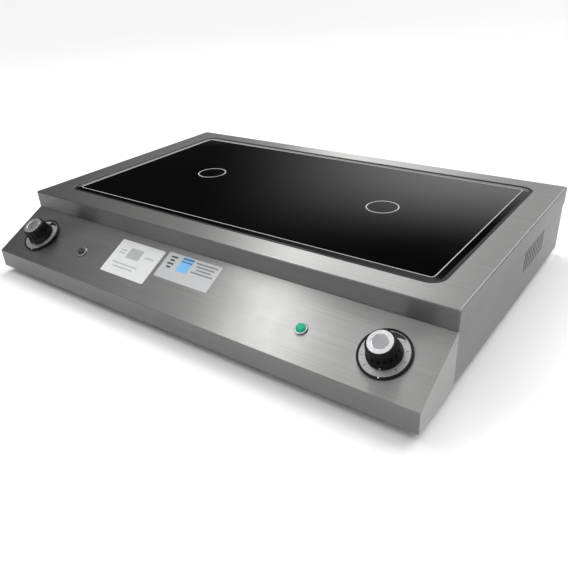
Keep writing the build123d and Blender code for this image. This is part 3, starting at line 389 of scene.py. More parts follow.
def modify(obj, kind, **settings):
    """Adds a modifier and applies it."""
    only(obj)
    modifier = obj.modifiers.new(kind.title(), kind)
    for name, value in settings.items():
        setattr(modifier, name, value)
    bpy.ops.object.modifier_apply(modifier=modifier.name)
    return obj


def soften(obj, width, segments=2, angle=40):
    """Rounds the sharp edges."""
    return modify(
        obj,
        "BEVEL",
        width=width,
        segments=segments,
        limit_method="ANGLE",
        angle_limit=math.radians(angle),
        use_clamp_overlap=True,
        harden_normals=False,
    )


def cut(obj, cutter):
    """Cuts one object with another and removes the cutter."""
    modify(obj, "BOOLEAN", operation="DIFFERENCE", solver="EXACT", object=cutter, use_self=True)
    bpy.data.objects.remove(cutter)


def weld(obj, other):
    """Makes one closed shape of two that overlap and removes the second."""
    modify(obj, "BOOLEAN", operation="UNION", solver="EXACT", object=other)
    bpy.data.objects.remove(other)


def join(objs, name):
    """Joins several objects into one."""
    only(objs[0])
    for obj in objs[1:]:
        obj.select_set(True)
    bpy.ops.object.join()
    obj = bpy.context.object
    obj.name = name
    obj.data.name = name
    return obj


def place(obj, matrix):
    """Moves an object's mesh by a matrix and leaves the object at the origin."""
    obj.matrix_world = matrix
    only(obj)
    bpy.ops.object.transform_apply(location=True, rotation=True, scale=True)
    return obj


def duplicate(obj, name, matrix):
    """A copy with its own mesh, moved by a matrix."""
    twin = obj.copy()
    twin.data = obj.data.copy()
    twin.name = name
    twin.data.name = name
    bpy.context.collection.objects.link(twin)
    return place(twin, matrix)


def around(reach, angle, z=0):
    """Point at a distance and angle round the Z axis."""
    return Vector((reach * math.cos(angle), reach * math.sin(angle), z))


def on_console(origin):
    """Matrix to the hob's frame from a local one whose +Z leaves the console and +Y climbs it."""
    turn = Matrix((X_AXIS, CONSOLE_UP, CONSOLE_NORMAL)).transposed().to_4x4()
    return Matrix.Translation(origin) @ turn


def on_slope(node):
    """Frame on the console's surface at the middle of a CAD node."""
    low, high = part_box(node)
    centre = (low + high) / 2
    offset = (centre - KNOB_PLACES["right"]).dot(CONSOLE_NORMAL)
    return on_console(centre - CONSOLE_NORMAL * offset)


def lens_frame(side):
    """Frame on the console's surface at a pilot lamp."""
    return on_slope(f"lamp_lens_{side}")


def facing_back(origin):
    """Matrix from a local frame whose +Z points backwards to the hob's frame."""
    return Matrix.Translation(origin) @ Matrix.Rotation(math.radians(-90), 4, "X")


def clean(obj):
    """Merges doubled points and turns the faces outwards."""
    only(obj)
    bpy.ops.object.mode_set(mode="EDIT")
    bpy.ops.mesh.select_all(action="SELECT")
    bpy.ops.mesh.remove_doubles(threshold=SAME_POINT)
    bpy.ops.mesh.normals_make_consistent(inside=False)
    close()


def done(obj, body, materials, replaces=(), angle=35):
    """Cleans a piece's mesh, shades it, gives it its finishes and puts it on its body."""
    clean(obj)
    bpy.ops.object.transform_apply(location=True, rotation=True, scale=True)
    bpy.ops.object.shade_smooth_by_angle(angle=math.radians(angle))
    modify(obj, "WEIGHTED_NORMAL", keep_sharp=True, weight=100)
    kept = [polygon.material_index for polygon in obj.data.polygons]
    obj.data.materials.clear()
    for material in materials:
        obj.data.materials.append(material)
    obj.data.polygons.foreach_set("material_index", kept)
    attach(obj, body)
    if replaces:
        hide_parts(*replaces)


def hole_cutter(matrix, radius, depth):
    """A cylinder cutter centred on a local frame."""
    return place(add_tube("cutter", radius, -depth, depth, 48), matrix)


# ---------------------------------------------------------------- finishes
class Finish:
    """A node material under construction."""

    def __init__(self, name):
        self.material = bpy.data.materials.new(name)
        self.material.use_nodes = True
        self.tree = self.material.node_tree
        self.shader = self.tree.nodes["Principled BSDF"]
        self.coordinates = self.node("ShaderNodeTexCoord").outputs["Object"]

    def node(self, kind, **settings):
        """Adds a node with the given settings."""
        node = self.tree.nodes.new(kind)
        for name, value in settings.items():
            setattr(node, name, value)
        return node

    def feed(self, node, name, value):
        """Links an output to an input, or sets the input's value."""
        socket = node.inputs[name]
        if isinstance(value, bpy.types.NodeSocket):
            self.tree.links.new(value, socket)
        else:
            socket.default_value = value

    def set(self, **values):
        """Sets or links the shader's inputs."""
        for name, value in values.items():
            label = SHADER_INPUTS[name]
            if name in ("base", "emission") and not isinstance(value, bpy.types.NodeSocket):
                value = (*value, 1)
            self.feed(self.shader, label, value)

    def stretched(self, scale, turn=(0, 0, 0)):
        """Object coordinates stretched and turned."""
        mapping = self.node("ShaderNodeMapping")
        self.feed(mapping, "Vector", self.coordinates)
        self.feed(mapping, "Scale", scale)
        self.feed(mapping, "Rotation", turn)
        return mapping.outputs["Vector"]

    def noise(self, vector, scale, detail, roughness=0.6):
        """Noise from 0 to 1."""
        noise = self.node("ShaderNodeTexNoise")
        self.feed(noise, "Vector", vector)
        self.feed(noise, "Scale", scale)
        self.feed(noise, "Detail", detail)
        self.feed(noise, "Roughness", roughness)
        return noise.outputs["Fac"]

    def between(self, value, low, high, start=0.3, end=0.7):
        """Maps a value to a range."""
        node = self.node("ShaderNodeMapRange", interpolation_type="SMOOTHSTEP")
        self.feed(node, "Value", value)
        self.feed(node, "From Min", start)
        self.feed(node, "From Max", end)
        self.feed(node, "To Min", low)
        self.feed(node, "To Max", high)
        return node.outputs["Result"]

    def blend(self, factor, one, two):
        """A colour between two colours."""
        ramp = self.node("ShaderNodeValToRGB")
        self.feed(ramp, "Fac", factor)
        ramp.color_ramp.elements[0].color = (*one, 1)
        ramp.color_ramp.elements[1].color = (*two, 1)
        return ramp.outputs["Color"]

    def bump(self, height, strength, distance):
        """A bump from a height."""
        bump = self.node("ShaderNodeBump")
        self.feed(bump, "Height", height)
        self.feed(bump, "Strength", strength)
        self.feed(bump, "Distance", distance)
        return bump.outputs["Normal"]


SHADER_INPUTS = {
    "base": "Base Color",
    "metallic": "Metallic",
    "roughness": "Roughness",
    "ior": "IOR",
    "normal": "Normal",
    "tangent": "Tangent",
    "anisotropic": "Anisotropic",
    "specular": "Specular IOR Level",
    "emission": "Emission Color",
    "glow": "Emission Strength",
}
FINISHES = {}


def shade(base, factor):
    """A colour made lighter or darker."""
    return tuple(min(1, channel * factor) for channel in base)


def finish(name, maker, *values):
    """A finish made once and kept by name."""
    if name not in FINISHES:
        FINISHES[name] = maker(name, *values).material
    return FINISHES[name]


def brushed_steel(name, base, grain, radial, roughness=0.40, anisotropic=0.97):
    """Stainless sheet with fine brush lines; grain is their stretch on X, Y and Z."""
    made = Finish(name)
    lines = made.noise(made.stretched(grain), 1.0, 5.0, 0.7)
    bands = made.noise(made.stretched(tuple(0.09 * step for step in grain)), 1.0, 2.0)
    smudge = made.noise(made.coordinates, 9.0, 3.0)
    tone = made.blend(made.between(lines, 0, 1), shade(base, 0.86), shade(base, 1.1))
    mix = made.node("ShaderNodeMix", data_type="RGBA", blend_type="MULTIPLY")
    made.feed(mix, 0, made.between(bands, 0.0, 0.22))
    made.tree.links.new(tone, mix.inputs[6])
    mix.inputs[7].default_value = (0.72, 0.72, 0.74, 1)
    rough = made.node("ShaderNodeMath", operation="ADD")
    made.feed(rough, 0, made.between(lines, roughness - 0.03, roughness + 0.05))
    made.feed(rough, 1, made.between(smudge, -0.015, 0.035))
    tangent = made.node("ShaderNodeTangent", direction_type="RADIAL", axis=radial)
    made.set(
        base=mix.outputs[2],
        metallic=1.0,
        roughness=rough.outputs[0],
        anisotropic=anisotropic,
        tangent=tangent.outputs["Tangent"],
        normal=made.bump(lines, 0.12, 0.00012),
    )
    return made


def turned_metal(name, base, roughness, metallic=1.0):
    """Spun or turned metal with fine mottling."""
    made = Finish(name)
    grain = made.noise(made.coordinates, 900.0, 3.0)
    broad = made.noise(made.coordinates, 60.0, 2.0)
    made.set(
        base=made.blend(made.between(broad, 0, 1), shade(base, 0.88), shade(base, 1.05)),
        metallic=metallic,
        roughness=made.between(grain, roughness - 0.04, roughness + 0.08),
        normal=made.bump(grain, 0.08, 0.0001),
    )
    return made


def black_glass(name, base):
    """Opaque polished glass-ceramic with wipe marks that only show in reflections."""
    made = Finish(name)
    wipes = made.noise(made.stretched((5.0, 14.0, 5.0), (0, 0, 0.5)), 1.0, 4.0)
    specks = made.noise(made.coordinates, 1600.0, 1.0)
    waves = made.noise(made.coordinates, 11.0, 1.0)
    rough = made.node("ShaderNodeMath", operation="ADD")
    made.feed(rough, 0, made.between(wipes, 0.03, 0.085, 0.35, 0.75))
    made.feed(rough, 1, made.between(specks, 0.0, 0.03, 0.66, 0.8))
    made.set(
        base=made.blend(made.between(specks, 0, 1, 0.68, 0.8), base, shade(base, 4)),
        roughness=rough.outputs[0],
        ior=1.52,
        normal=made.bump(waves, 0.05, 0.0006),
    )
    return made


def print_and_painted_highlight_glass(name, base):
    """Matt grey glass for the printed zone rings, also used as a painted highlight line along the bevel."""
    made = Finish(name)
    grain = made.noise(made.coordinates, 1500.0, 2.0)
    made.set(
        base=made.blend(made.between(grain, 0, 1), shade(base, 0.85), shade(base, 1.15)),
        roughness=made.between(grain, 0.38, 0.5),
        normal=made.bump(grain, 0.1, 0.00005),
    )
    return made


def moulded(name, base, roughness, grain_size=1400.0):
    """Moulded plastic or rubber with a fine texture."""
    made = Finish(name)
    grain = made.noise(made.coordinates, grain_size, 3.0)
    worn = made.noise(made.coordinates, 45.0, 3.0)
    made.set(
        base=made.blend(made.between(worn, 0, 1), shade(base, 0.8), shade(base, 1.25)),
        roughness=made.between(worn, roughness - 0.05, roughness + 0.08),
        specular=0.2,
        normal=made.bump(grain, 0.25, 0.00008),
    )
    return made


def lamp_plastic(name, base, glow):
    """Translucent lens; a lit one glows."""
    made = Finish(name)
    ribs = made.noise(made.coordinates, 700.0, 1.0)
    made.set(
        base=made.blend(made.between(ribs, 0, 1), shade(base, 0.8), shade(base, 1.3)),
        roughness=made.between(ribs, 0.2, 0.3),
        specular=0.25,
        emission=base,
        glow=glow,
        normal=made.bump(ribs, 0.1, 0.0001),
    )
    return made


def printed(name, base, roughness=0.4, metallic=0.0):
    """Printed film or ink."""
    made = Finish(name)
    fibres = made.noise(made.stretched((900.0, 260.0, 900.0)), 1.0, 3.0)
    made.set(
        base=made.blend(made.between(fibres, 0, 1), shade(base, 0.95), shade(base, 1.03)),
        metallic=metallic,
        roughness=made.between(fibres, roughness - 0.05, roughness + 0.06),
        normal=made.bump(fibres, 0.05, 0.00004),
    )
    return made


def steel_along_x(name="across", tone=1.0):
    """Steel brushed across the hob; a tone below 1 makes a darker copy that is painted shade."""
    base = shade(bpy.context.scene.hob_colours.steel, tone)
    return finish(f"steel_brushed_{name}", brushed_steel, base, GRAIN_ALONG_X, "X")


def steel_along_y(name, tone):
    """Steel brushed from front to back; a tone below 1 makes a darker copy that is painted shade, one above 1 a
    lighter copy that is painted light.
    """
    base = shade(bpy.context.scene.hob_colours.steel, tone)
    return finish(f"steel_brushed_{name}", brushed_steel, base, GRAIN_ALONG_Y, "Y")


def turn_brushing(obj, *axes):
    """Gives the faces across each axis, a direction or its number, the piece's next finish."""
    for polygon in obj.data.polygons:
        for index, axis in enumerate(axes, 1):
            normal = polygon.normal
            across = normal.dot(axis) if isinstance(axis, Vector) else abs(normal[axis])
            if across > ACROSS:
                polygon.material_index = index


def black_moulding():
    """Satin black plastic."""
    base = tuple(bpy.context.scene.hob_colours.black_plastic)
    return finish("plastic_black", moulded, base, 0.38)


# ---------------------------------------------------------------- operators
class HobOperator:
    """What the hob's operators share."""

    bl_options = {"REGISTER", "UNDO"}

    def execute(self, context):
        self.build(context.scene)
        return {"FINISHED"}


class HOB_OT_deck(HobOperator, bpy.types.Operator):
    """Folded deck with the rounded cut-out for the glass"""

    bl_idname = "hob.deck"
    bl_label = "Deck"

    def build(self, scene):
        sheet = scene.hob_sheet
        low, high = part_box("deck_frame")
        seal_low, seal_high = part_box("glass_seal")
        deck = add_block("deck_shell", low, high)
        edit(deck, "faces")
        pick(deck, "faces", lambda face: face.normal.z < -FACING)
        bpy.ops.mesh.delete(type="FACE")
        for axis in (0, 1):
            for position in (seal_low[axis], seal_high[axis]):
                self.split(axis, position)
        inside = (seal_low + seal_high) / 2
        near = sheet.thickness
        ends_x, ends_y = (seal_low.x, seal_high.x), (seal_low.y, seal_high.y)
        corners = [Vector((x, y)) for x in ends_x for y in ends_y]

        def over_opening(face):
            return face.normal.z > FACING and (middle(face) - inside).xy.length < near

        def opening_corner(vert):
            at_corner = any((vert.co.xy - corner).length < near for corner in corners)
            return at_corner and vert.co.z > high.z - near

        pick(deck, "faces", over_opening)
        bpy.ops.mesh.delete(type="FACE")
        pick(deck, "verts", opening_corner)
        bpy.ops.mesh.bevel(affect="VERTICES", offset=sheet.opening_radius, segments=10, profile=0.5)
        self.fold(deck, low, high, sheet)
        close()
        modify(deck, "SOLIDIFY", thickness=sheet.thickness, offset=-1, use_even_offset=True)
        soften(deck, sheet.edge_radius)
        # painted shade: the deck's side bands get the darker wall copy of the steel and its front band a much
        # darker copy
        turn_brushing(deck, 0, FRONT)
        wall, band = steel_along_y("wall", WALL_PAINTED_SHADE), steel_along_x("band", BAND_PAINTED_SHADE)
        steels = [steel_along_x(), wall, band]
        done(deck, "housing", steels, ["deck_frame"])

    @staticmethod
    def split(axis, position):
        """Cuts an edge all round at a position on an axis."""
        bpy.ops.mesh.select_all(action="SELECT")
        point = [0, 0, 0]
        point[axis] = position
        normal = [0, 0, 0]
        normal[axis] = 1
        bpy.ops.mesh.bisect(plane_co=point, plane_no=normal)

    @staticmethod
    def fold(deck, low, high, sheet):
        """Rounds the four upright corners and the top's edges as folds."""
        near = sheet.edge_radius

        def on_fold(edge):
            point = middle(edge)
            at_x = min(abs(point.x - low.x), abs(point.x - high.x)) < near
            at_y = min(abs(point.y - low.y), abs(point.y - high.y)) < near
            upright = along(edge, (0, 0, 1)) and at_x and at_y
            rim = abs(point.z - high.z) < near and (at_x or at_y) and not along(edge, (0, 0, 1))
            flat = (edge.verts[0].co - edge.verts[1].co).normalized()
            rim = rim and ((at_x and abs(flat.y) > FACING) or (at_y and abs(flat.x) > FACING))
            return upright or rim

        pick(deck, "edges", on_fold)
        bpy.ops.mesh.bevel(offset=sheet.fold_radius, segments=5, profile=0.5, clamp_overlap=True)


class HOB_OT_glass(HobOperator, bpy.types.Operator):
    """Black glass plate with its bevel, a grey line inside it that is a painted highlight of the bevel's inner
    edge, and the printed zone rings
    """

    bl_idname = "hob.glass"
    bl_label = "Glass plate"

    def build(self, scene):
        sizes = scene.hob_glass
        colours = scene.hob_colours
        low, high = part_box("glass_top")
        near = sizes.line_width / 2
        high.z -= sizes.print_thickness
        plate = add_block("glass_plate", low, high)
        edit(plate, "edges")
        pick(plate, "edges", lambda edge: along(edge, (0, 0, 1)))
        bpy.ops.mesh.bevel(offset=sizes.corner_radius, segments=12, profile=0.5)
        pick(plate, "faces", lambda face: face.normal.z > FACING)
        bpy.ops.mesh.inset(thickness=sizes.bevel_width)
        bpy.ops.mesh.inset(thickness=sizes.line_width)
        inner = sizes.bevel_width * 0.5

        def outer_rim(vert):
            gap = min(vert.co.x - low.x, high.x - vert.co.x, vert.co.y - low.y, high.y - vert.co.y)
            return vert.co.z > high.z - near and gap < inner

        pick(plate, "verts", outer_rim)
        bpy.ops.transform.translate(value=(0, 0, -sizes.bevel_drop))
        close()
        # painted highlight: the small flat faces of the line get the grey finish, standing in for the glint along
        # the bevel's inner edge
        highlight_line_middle = sizes.bevel_width + sizes.line_width / 2
        for polygon in plate.data.polygons:
            centre = polygon.center
            gap = min(centre.x - low.x, high.x - centre.x, centre.y - low.y, high.y - centre.y)
            on_highlight_line = gap < 3 * highlight_line_middle and polygon.area < HIGHLIGHT_LINE_FACE_AREA
            polygon.material_index = 1 if polygon.normal.z > LEVEL and on_highlight_line else 0
        soften(plate, sizes.print_thickness * 6, 2, 60)
        # the grey finish serves the printed zone rings and the painted highlight line
        glass = finish("glass_black", black_glass, tuple(colours.glass))
        line = finish("glass_ground", print_and_painted_highlight_glass, tuple(colours.enamel))
        done(plate, "housing", [glass, line], ["glass_top"], angle=3)
        for side in SIDES:
            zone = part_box(f"mica_disc_{side}")
            centre = (zone[0] + zone[1]) / 2
            self.ring(f"zone_ring_{side}", sizes, Vector((centre.x, centre.y, high.z)), line)

    @staticmethod
    def ring(name, sizes, centre, material):
        """A thin raised ring of enamel."""
        outer = sizes.ring_radius + sizes.ring_width / 2
        ring = add_disc(name, outer, 0, 128)
        edit(ring, "faces")
        pick(ring, "faces", lambda face: True)
        bpy.ops.mesh.inset(thickness=sizes.ring_width)
        bpy.ops.mesh.delete(type="FACE")
        close()
        modify(ring, "SOLIDIFY", thickness=sizes.print_thickness, offset=1)
        place(ring, Matrix.Translation(centre))
        done(ring, "housing", [material])


class HOB_OT_console(HobOperator, bpy.types.Operator):
    """Sloping console folded from one sheet, with its lip, end cheeks and upstand"""

    bl_idname = "hob.console"
    bl_label = "Console"

    def build(self, scene):
        sheet = scene.hob_sheet
        thick = sheet.thickness
        low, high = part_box("console_panel")
        front_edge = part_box("deck_frame")[0].y + thick
        slope_point = KNOB_PLACES["right"]
        rise = (front_edge - slope_point.y) * CONSOLE_UP.z / CONSOLE_UP.y
        slope_top = slope_point.z + rise
        shell_high = (high.x, front_edge + thick, slope_top)
        shell = self.wedge("console_shell", low, shell_high, slope_point)
        self.fold(shell, low, high, sheet)
        hollow_low = (low.x + thick, low.y + thick, low.z - thick)
        hollow_high = (high.x - thick, front_edge + 2 * thick, slope_top + thick)
        inner_point = slope_point - CONSOLE_NORMAL * thick
        cut(shell, self.wedge("cutter", hollow_low, hollow_high, inner_point))
        reach = high.x - sheet.fold_radius - thick
        upstand_low = (-reach, front_edge, slope_top - thick)
        weld(shell, add_block("upstand", upstand_low, (reach, front_edge + thick, high.z)))
        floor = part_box("base_plate")[1].z
        reach_in = reach - sheet.flange
        flange_low = (-reach_in, low.y + thick / 2, floor)
        flange_high = (reach_in, low.y + thick + LIP_FLANGE, floor + thick)
        weld(shell, add_block("flange", flange_low, flange_high))
        for sign in SIDES.values():
            ends = sorted((reach * sign, (high.x + thick) * sign))
            behind_low = (ends[0], front_edge, low.z - thick)
            cut(shell, add_block("cutter", behind_low, (ends[1], 0, high.z + thick)))
        for side, place_on_slope in KNOB_PLACES.items():
            cut(shell, hole_cutter(on_console(place_on_slope), BUSH_HOLE, 2 * thick))
            cut(shell, hole_cutter(lens_frame(side), LAMP_HOLE, 2 * thick))
        soften(shell, sheet.edge_radius)
        # painted light and shade: the end cheeks get a lighter copy of the steel and the front lip a darker one
        turn_brushing(shell, 0, FRONT)
        cheek, lip = steel_along_y("cheek", CHEEK_PAINTED_LIGHT), steel_along_x("lip", LIP_PAINTED_SHADE)
        steels = [steel_along_x(), cheek, lip]
        done(shell, "housing", steels, ["console_panel"])

    @staticmethod
    def wedge(name, low, high, slope_point):
        """A block with its top cut off along the slope."""
        wedge = add_block(name, low, high)
        edit(wedge, "faces")
        bpy.ops.mesh.select_all(action="SELECT")
        bpy.ops.mesh.bisect(
            plane_co=slope_point, plane_no=CONSOLE_NORMAL, clear_outer=True, use_fill=True
        )
        close()
        return wedge

    @staticmethod
    def fold(wedge, low, high, sheet):
        """Rounds the fold over the lip and the cheeks' edges."""
        near = sheet.edge_radius

        def on_fold(edge):
            point = middle(edge)
            at_end = min(abs(point.x - low.x), abs(point.x - high.x)) < near
            at_front = point.y < low.y + near
            over_lip = along(edge, (1, 0, 0)) and at_front and point.z > low.z + near
            rise = edge.verts[1].co - edge.verts[0].co
            sloped = abs(rise.y) > near and abs(rise.z) > near
            return over_lip or (at_end and (sloped or (along(edge, (0, 0, 1)) and at_front)))

        edit(wedge, "edges")
        pick(wedge, "edges", on_fold)
        bpy.ops.mesh.bevel(offset=sheet.console_radius, segments=5, profile=0.5, clamp_overlap=True)
        close()


class HOB_OT_walls(HobOperator, bpy.types.Operator):
    """Side walls and set-back rear wall with their air slots and turned-in edges"""

    bl_idname = "hob.walls"
    bl_label = "Walls"

    def build(self, scene):
        sheet = scene.hob_sheet
        self.side_walls(sheet)
        self.rear_wall(sheet)

    @staticmethod
    def slots(count, sheet, height, matrix, pitch_axis):
        """A row of slot cutters along an axis, joined."""
        made = []
        half = height / 2 - sheet.vent_width / 2
        depth = CUT_THROUGH * sheet.thickness
        for n in range(count):
            slot = add_tube("slot", sheet.vent_width / 2, -depth, depth, 16)
            edit(slot, "verts")
            pick(slot, "verts", lambda v: v.co.y > SLIVER)
            bpy.ops.transform.translate(value=(0, half, 0))
            pick(slot, "verts", lambda v: v.co.y < -SLIVER)
            bpy.ops.transform.translate(value=(0, -half, 0))
            close()
            shift = (n - (count - 1) / 2) * sheet.vent_pitch
            made.append(place(slot, Matrix.Translation(Vector(pitch_axis) * shift) @ matrix))
        return join(made, "cutter")

    def side_walls(self, sheet):
        low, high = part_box("side_panel_right")
        deck_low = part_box("deck_frame")[0]
        outer = high.x
        inner = outer - sheet.thickness
        wall = add_block("side_wall_right", (inner, low.y, low.z), (outer, high.y, high.z))
        under = KNOB_PLACES["right"] - CONSOLE_NORMAL * (sheet.thickness + sheet.edge_radius)
        back = deck_low.y + 2 * sheet.thickness
        edit(wall, "faces")
        bpy.ops.mesh.select_all(action="SELECT")
        bpy.ops.mesh.bisect(plane_co=(0, back, 0), plane_no=(0, 1, 0))
        close()
        slope_low = (inner - OVERCUT, low.y - OVERCUT, low.z)
        slope = add_block("cutter", slope_low, (outer + OVERCUT, back, high.z + OVERCUT))
        edit(slope, "faces")
        bpy.ops.mesh.select_all(action="SELECT")
        bpy.ops.mesh.bisect(
            plane_co=under, plane_no=CONSOLE_NORMAL, clear_inner=True, use_fill=True
        )
        close()
        cut(wall, slope)
        turned_x = inner - sheet.flange
        top = high.z - sheet.thickness
        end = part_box("rear_panel")[0].y
        turned = [
            ((turned_x, back, top), (inner, end, high.z)),
            ((turned_x, high.y - sheet.thickness, low.z), (inner, high.y, top)),
        ]
        flanges = [add_block("flange", *corners) for corners in turned]
        wall = join([wall, *flanges], "side_wall_right")
        turn = Matrix.Rotation(math.radians(90), 4, "Y") @ Matrix.Rotation(math.radians(90), 4, "Z")
        centre = Matrix.Translation((outer, SIDE_VENT_Y, SIDE_VENT_Z))
        cut(wall, self.slots(SIDE_VENTS, sheet, sheet.side_vent_height, centre @ turn, (0, 1, 0)))
        soften(wall, sheet.edge_radius)
        turn_brushing(wall, 1)
        other = duplicate(wall, "side_wall_left", Matrix.Scale(-1, 4, X_AXIS))
        # painted shade: the side walls get a darker copy of the steel, the same as the deck's side bands
        steels = [steel_along_y("wall", WALL_PAINTED_SHADE), steel_along_x()]
        done(wall, "housing", steels, ["side_panel_right"])
        done(other, "housing", steels, ["side_panel_left"])

    def rear_wall(self, sheet):
        low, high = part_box("rear_panel")
        front = high.y - sheet.flange - sheet.thickness
        face = front + sheet.thickness
        wall = add_block("rear_wall", (low.x, front, low.z), (high.x, face, high.z))
        lip_low = (low.x + REAR_LIP_INSET, face, high.z - sheet.thickness)
        lip = add_block("lip", lip_low, (high.x - REAR_LIP_INSET, high.y, high.z))
        wall = join([wall, lip], "rear_wall")
        turn = Matrix.Rotation(math.radians(90), 4, "X")
        centre = Matrix.Translation((0, face, REAR_VENT_Z))
        cut(wall, self.slots(REAR_VENTS, sheet, sheet.rear_vent_height, centre @ turn, (1, 0, 0)))
        for node, radius in (("cable_gland", GLAND_HOLE), ("bonding_stud", STUD_HOLE)):
            node_low, node_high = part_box(node)
            centre = (node_low + node_high) / 2
            matrix = facing_back((centre.x, face, centre.z))
            cut(wall, hole_cutter(matrix, radius, CUT_THROUGH * sheet.thickness))
        soften(wall, sheet.edge_radius)
        done(wall, "housing", [steel_along_x()], ["rear_panel"])


class HOB_OT_dials(HobOperator, bpy.types.Operator):
    """Black rims, bright dials with their steps, and the index dots"""

    bl_idname = "hob.dials"
    bl_label = "Dials"

    def build(self, scene):
        sizes = scene.hob_knob
        edge = sizes.rim_radius - sizes.rim_width
        rim = self.turned_ring("dial_rim", sizes.rim_radius, edge, sizes.rim_height, RIM_ROUNDING)
        dial = self.turned_ring(
            "dial_face", edge, sizes.dial_inner, sizes.dial_height, DIAL_ROUNDING
        )
        marks = self.marks(sizes)
        silver = finish("dial_silver", turned_metal, (0.36, 0.36, 0.37), 0.3, 0.5)
        white = finish("mark_white", printed, (0.86, 0.86, 0.86))
        dark = finish("mark_black", printed, (0.02, 0.02, 0.02))
        for side, origin in KNOB_PLACES.items():
            matrix = on_console(origin)
            done(
                duplicate(rim, f"dial_rim_{side}", matrix),
                "housing", [black_moulding()], [f"dial_bezel_{side}"],
            )
            done(
                duplicate(dial, f"dial_face_{side}", matrix),
                "housing", [silver], [f"dial_ring_{side}"],
            )
            # the black marks are the printed steps and the painted reflection wedge
            done(duplicate(marks, f"dial_marks_{side}", matrix), "housing", [dark])
            dot = self.dot(sizes)
            done(place(dot, matrix), "housing", [white])
            dot.name = f"index_dot_{side}"
        for obj in (rim, dial, marks):
            bpy.data.objects.remove(obj)

    @staticmethod
    def turned_ring(name, outer, inner, height, rounding):
        """A ring raised from a disc, open in the middle, with rounded top edges."""
        ring = add_disc(name, outer, 0, 128)
        edit(ring, "faces")
        pick(ring, "faces", lambda face: True)
        bpy.ops.mesh.inset(thickness=outer - inner)
        bpy.ops.mesh.delete(type="FACE")
        close()
        modify(ring, "SOLIDIFY", thickness=height, offset=1)
        edit(ring, "edges")

        def top_edge(item):
            start, end = (vert.co for vert in item.verts)
            round_about = abs(start.xy.length - end.xy.length) < SLIVER
            return min(start.z, end.z) > height * FACING and not item.is_boundary and round_about

        pick(ring, "edges", top_edge)
        bpy.ops.mesh.bevel(offset=rounding, segments=4, profile=0.5)
        close()
        return ring

    @staticmethod
    def marks(sizes):
        """Steps round the dial, a short bar for each, and a tapering dark wedge near the top that is a painted
        reflection of the black grip.
        """
        bars = []
        radius = (sizes.grip_radius + sizes.rim_radius - sizes.rim_width) / 2
        for n in range(sizes.tick_count):
            angle = math.radians(DIAL_START - DIAL_SWEEP * n / (sizes.tick_count - 1))
            long = TICK_LENGTH * (LONG_TICK if n % 3 == 0 else 1)
            half = TICK_WIDTH / 2
            bar = add_block("bar", (-long / 2, -half, 0), (long / 2, half, TICK_HEIGHT))
            edit(bar, "edges")
            pick(bar, "edges", lambda e: along(e, (0, 0, 1)))
            bpy.ops.mesh.bevel(offset=TICK_WIDTH * 0.45, segments=3)
            close()
            spin = Matrix.Rotation(angle, 4, "Z")
            bars.append(place(bar, spin @ Matrix.Translation((radius, 0, sizes.dial_height))))
        # painted reflection: a dark tapering wedge near the top of the dial stands in for the black grip mirrored
        # in the dial
        outer = sizes.rim_radius - sizes.rim_width - TICK_WIDTH
        for n in range(PAINTED_REFLECTION_STEPS):
            angle = math.radians(PAINTED_REFLECTION_START - PAINTED_REFLECTION_SWEEP * n / (PAINTED_REFLECTION_STEPS - 1))
            long = PAINTED_REFLECTION_LENGTH * (1 - PAINTED_REFLECTION_TAPER * n / (PAINTED_REFLECTION_STEPS - 1))
            half = outer * math.radians(PAINTED_REFLECTION_SWEEP) / PAINTED_REFLECTION_STEPS
            step = add_block("step", (outer - long, -half, 0), (outer, half, TICK_HEIGHT))
            spin = Matrix.Rotation(angle, 4, "Z")
            bars.append(place(step, spin @ Matrix.Translation((0, 0, sizes.dial_height))))
        return join(bars, "dial_marks")

    @staticmethod
    def dot(sizes):
        """White index dot on the rim."""
        radius = sizes.rim_width * 0.36
        dot = add_disc("index_dot", radius, 0, 32)
        edit(dot, "faces")
        pick(dot, "faces", lambda face: True)
        bpy.ops.mesh.extrude_region_move(TRANSFORM_OT_translate={"value": (0, 0, TICK_HEIGHT)})
        close()
        reach = sizes.rim_radius - sizes.rim_width / 2
        angle = math.radians(INDEX_ANGLE)
        return place(dot, Matrix.Translation(around(reach, angle, sizes.rim_height)))


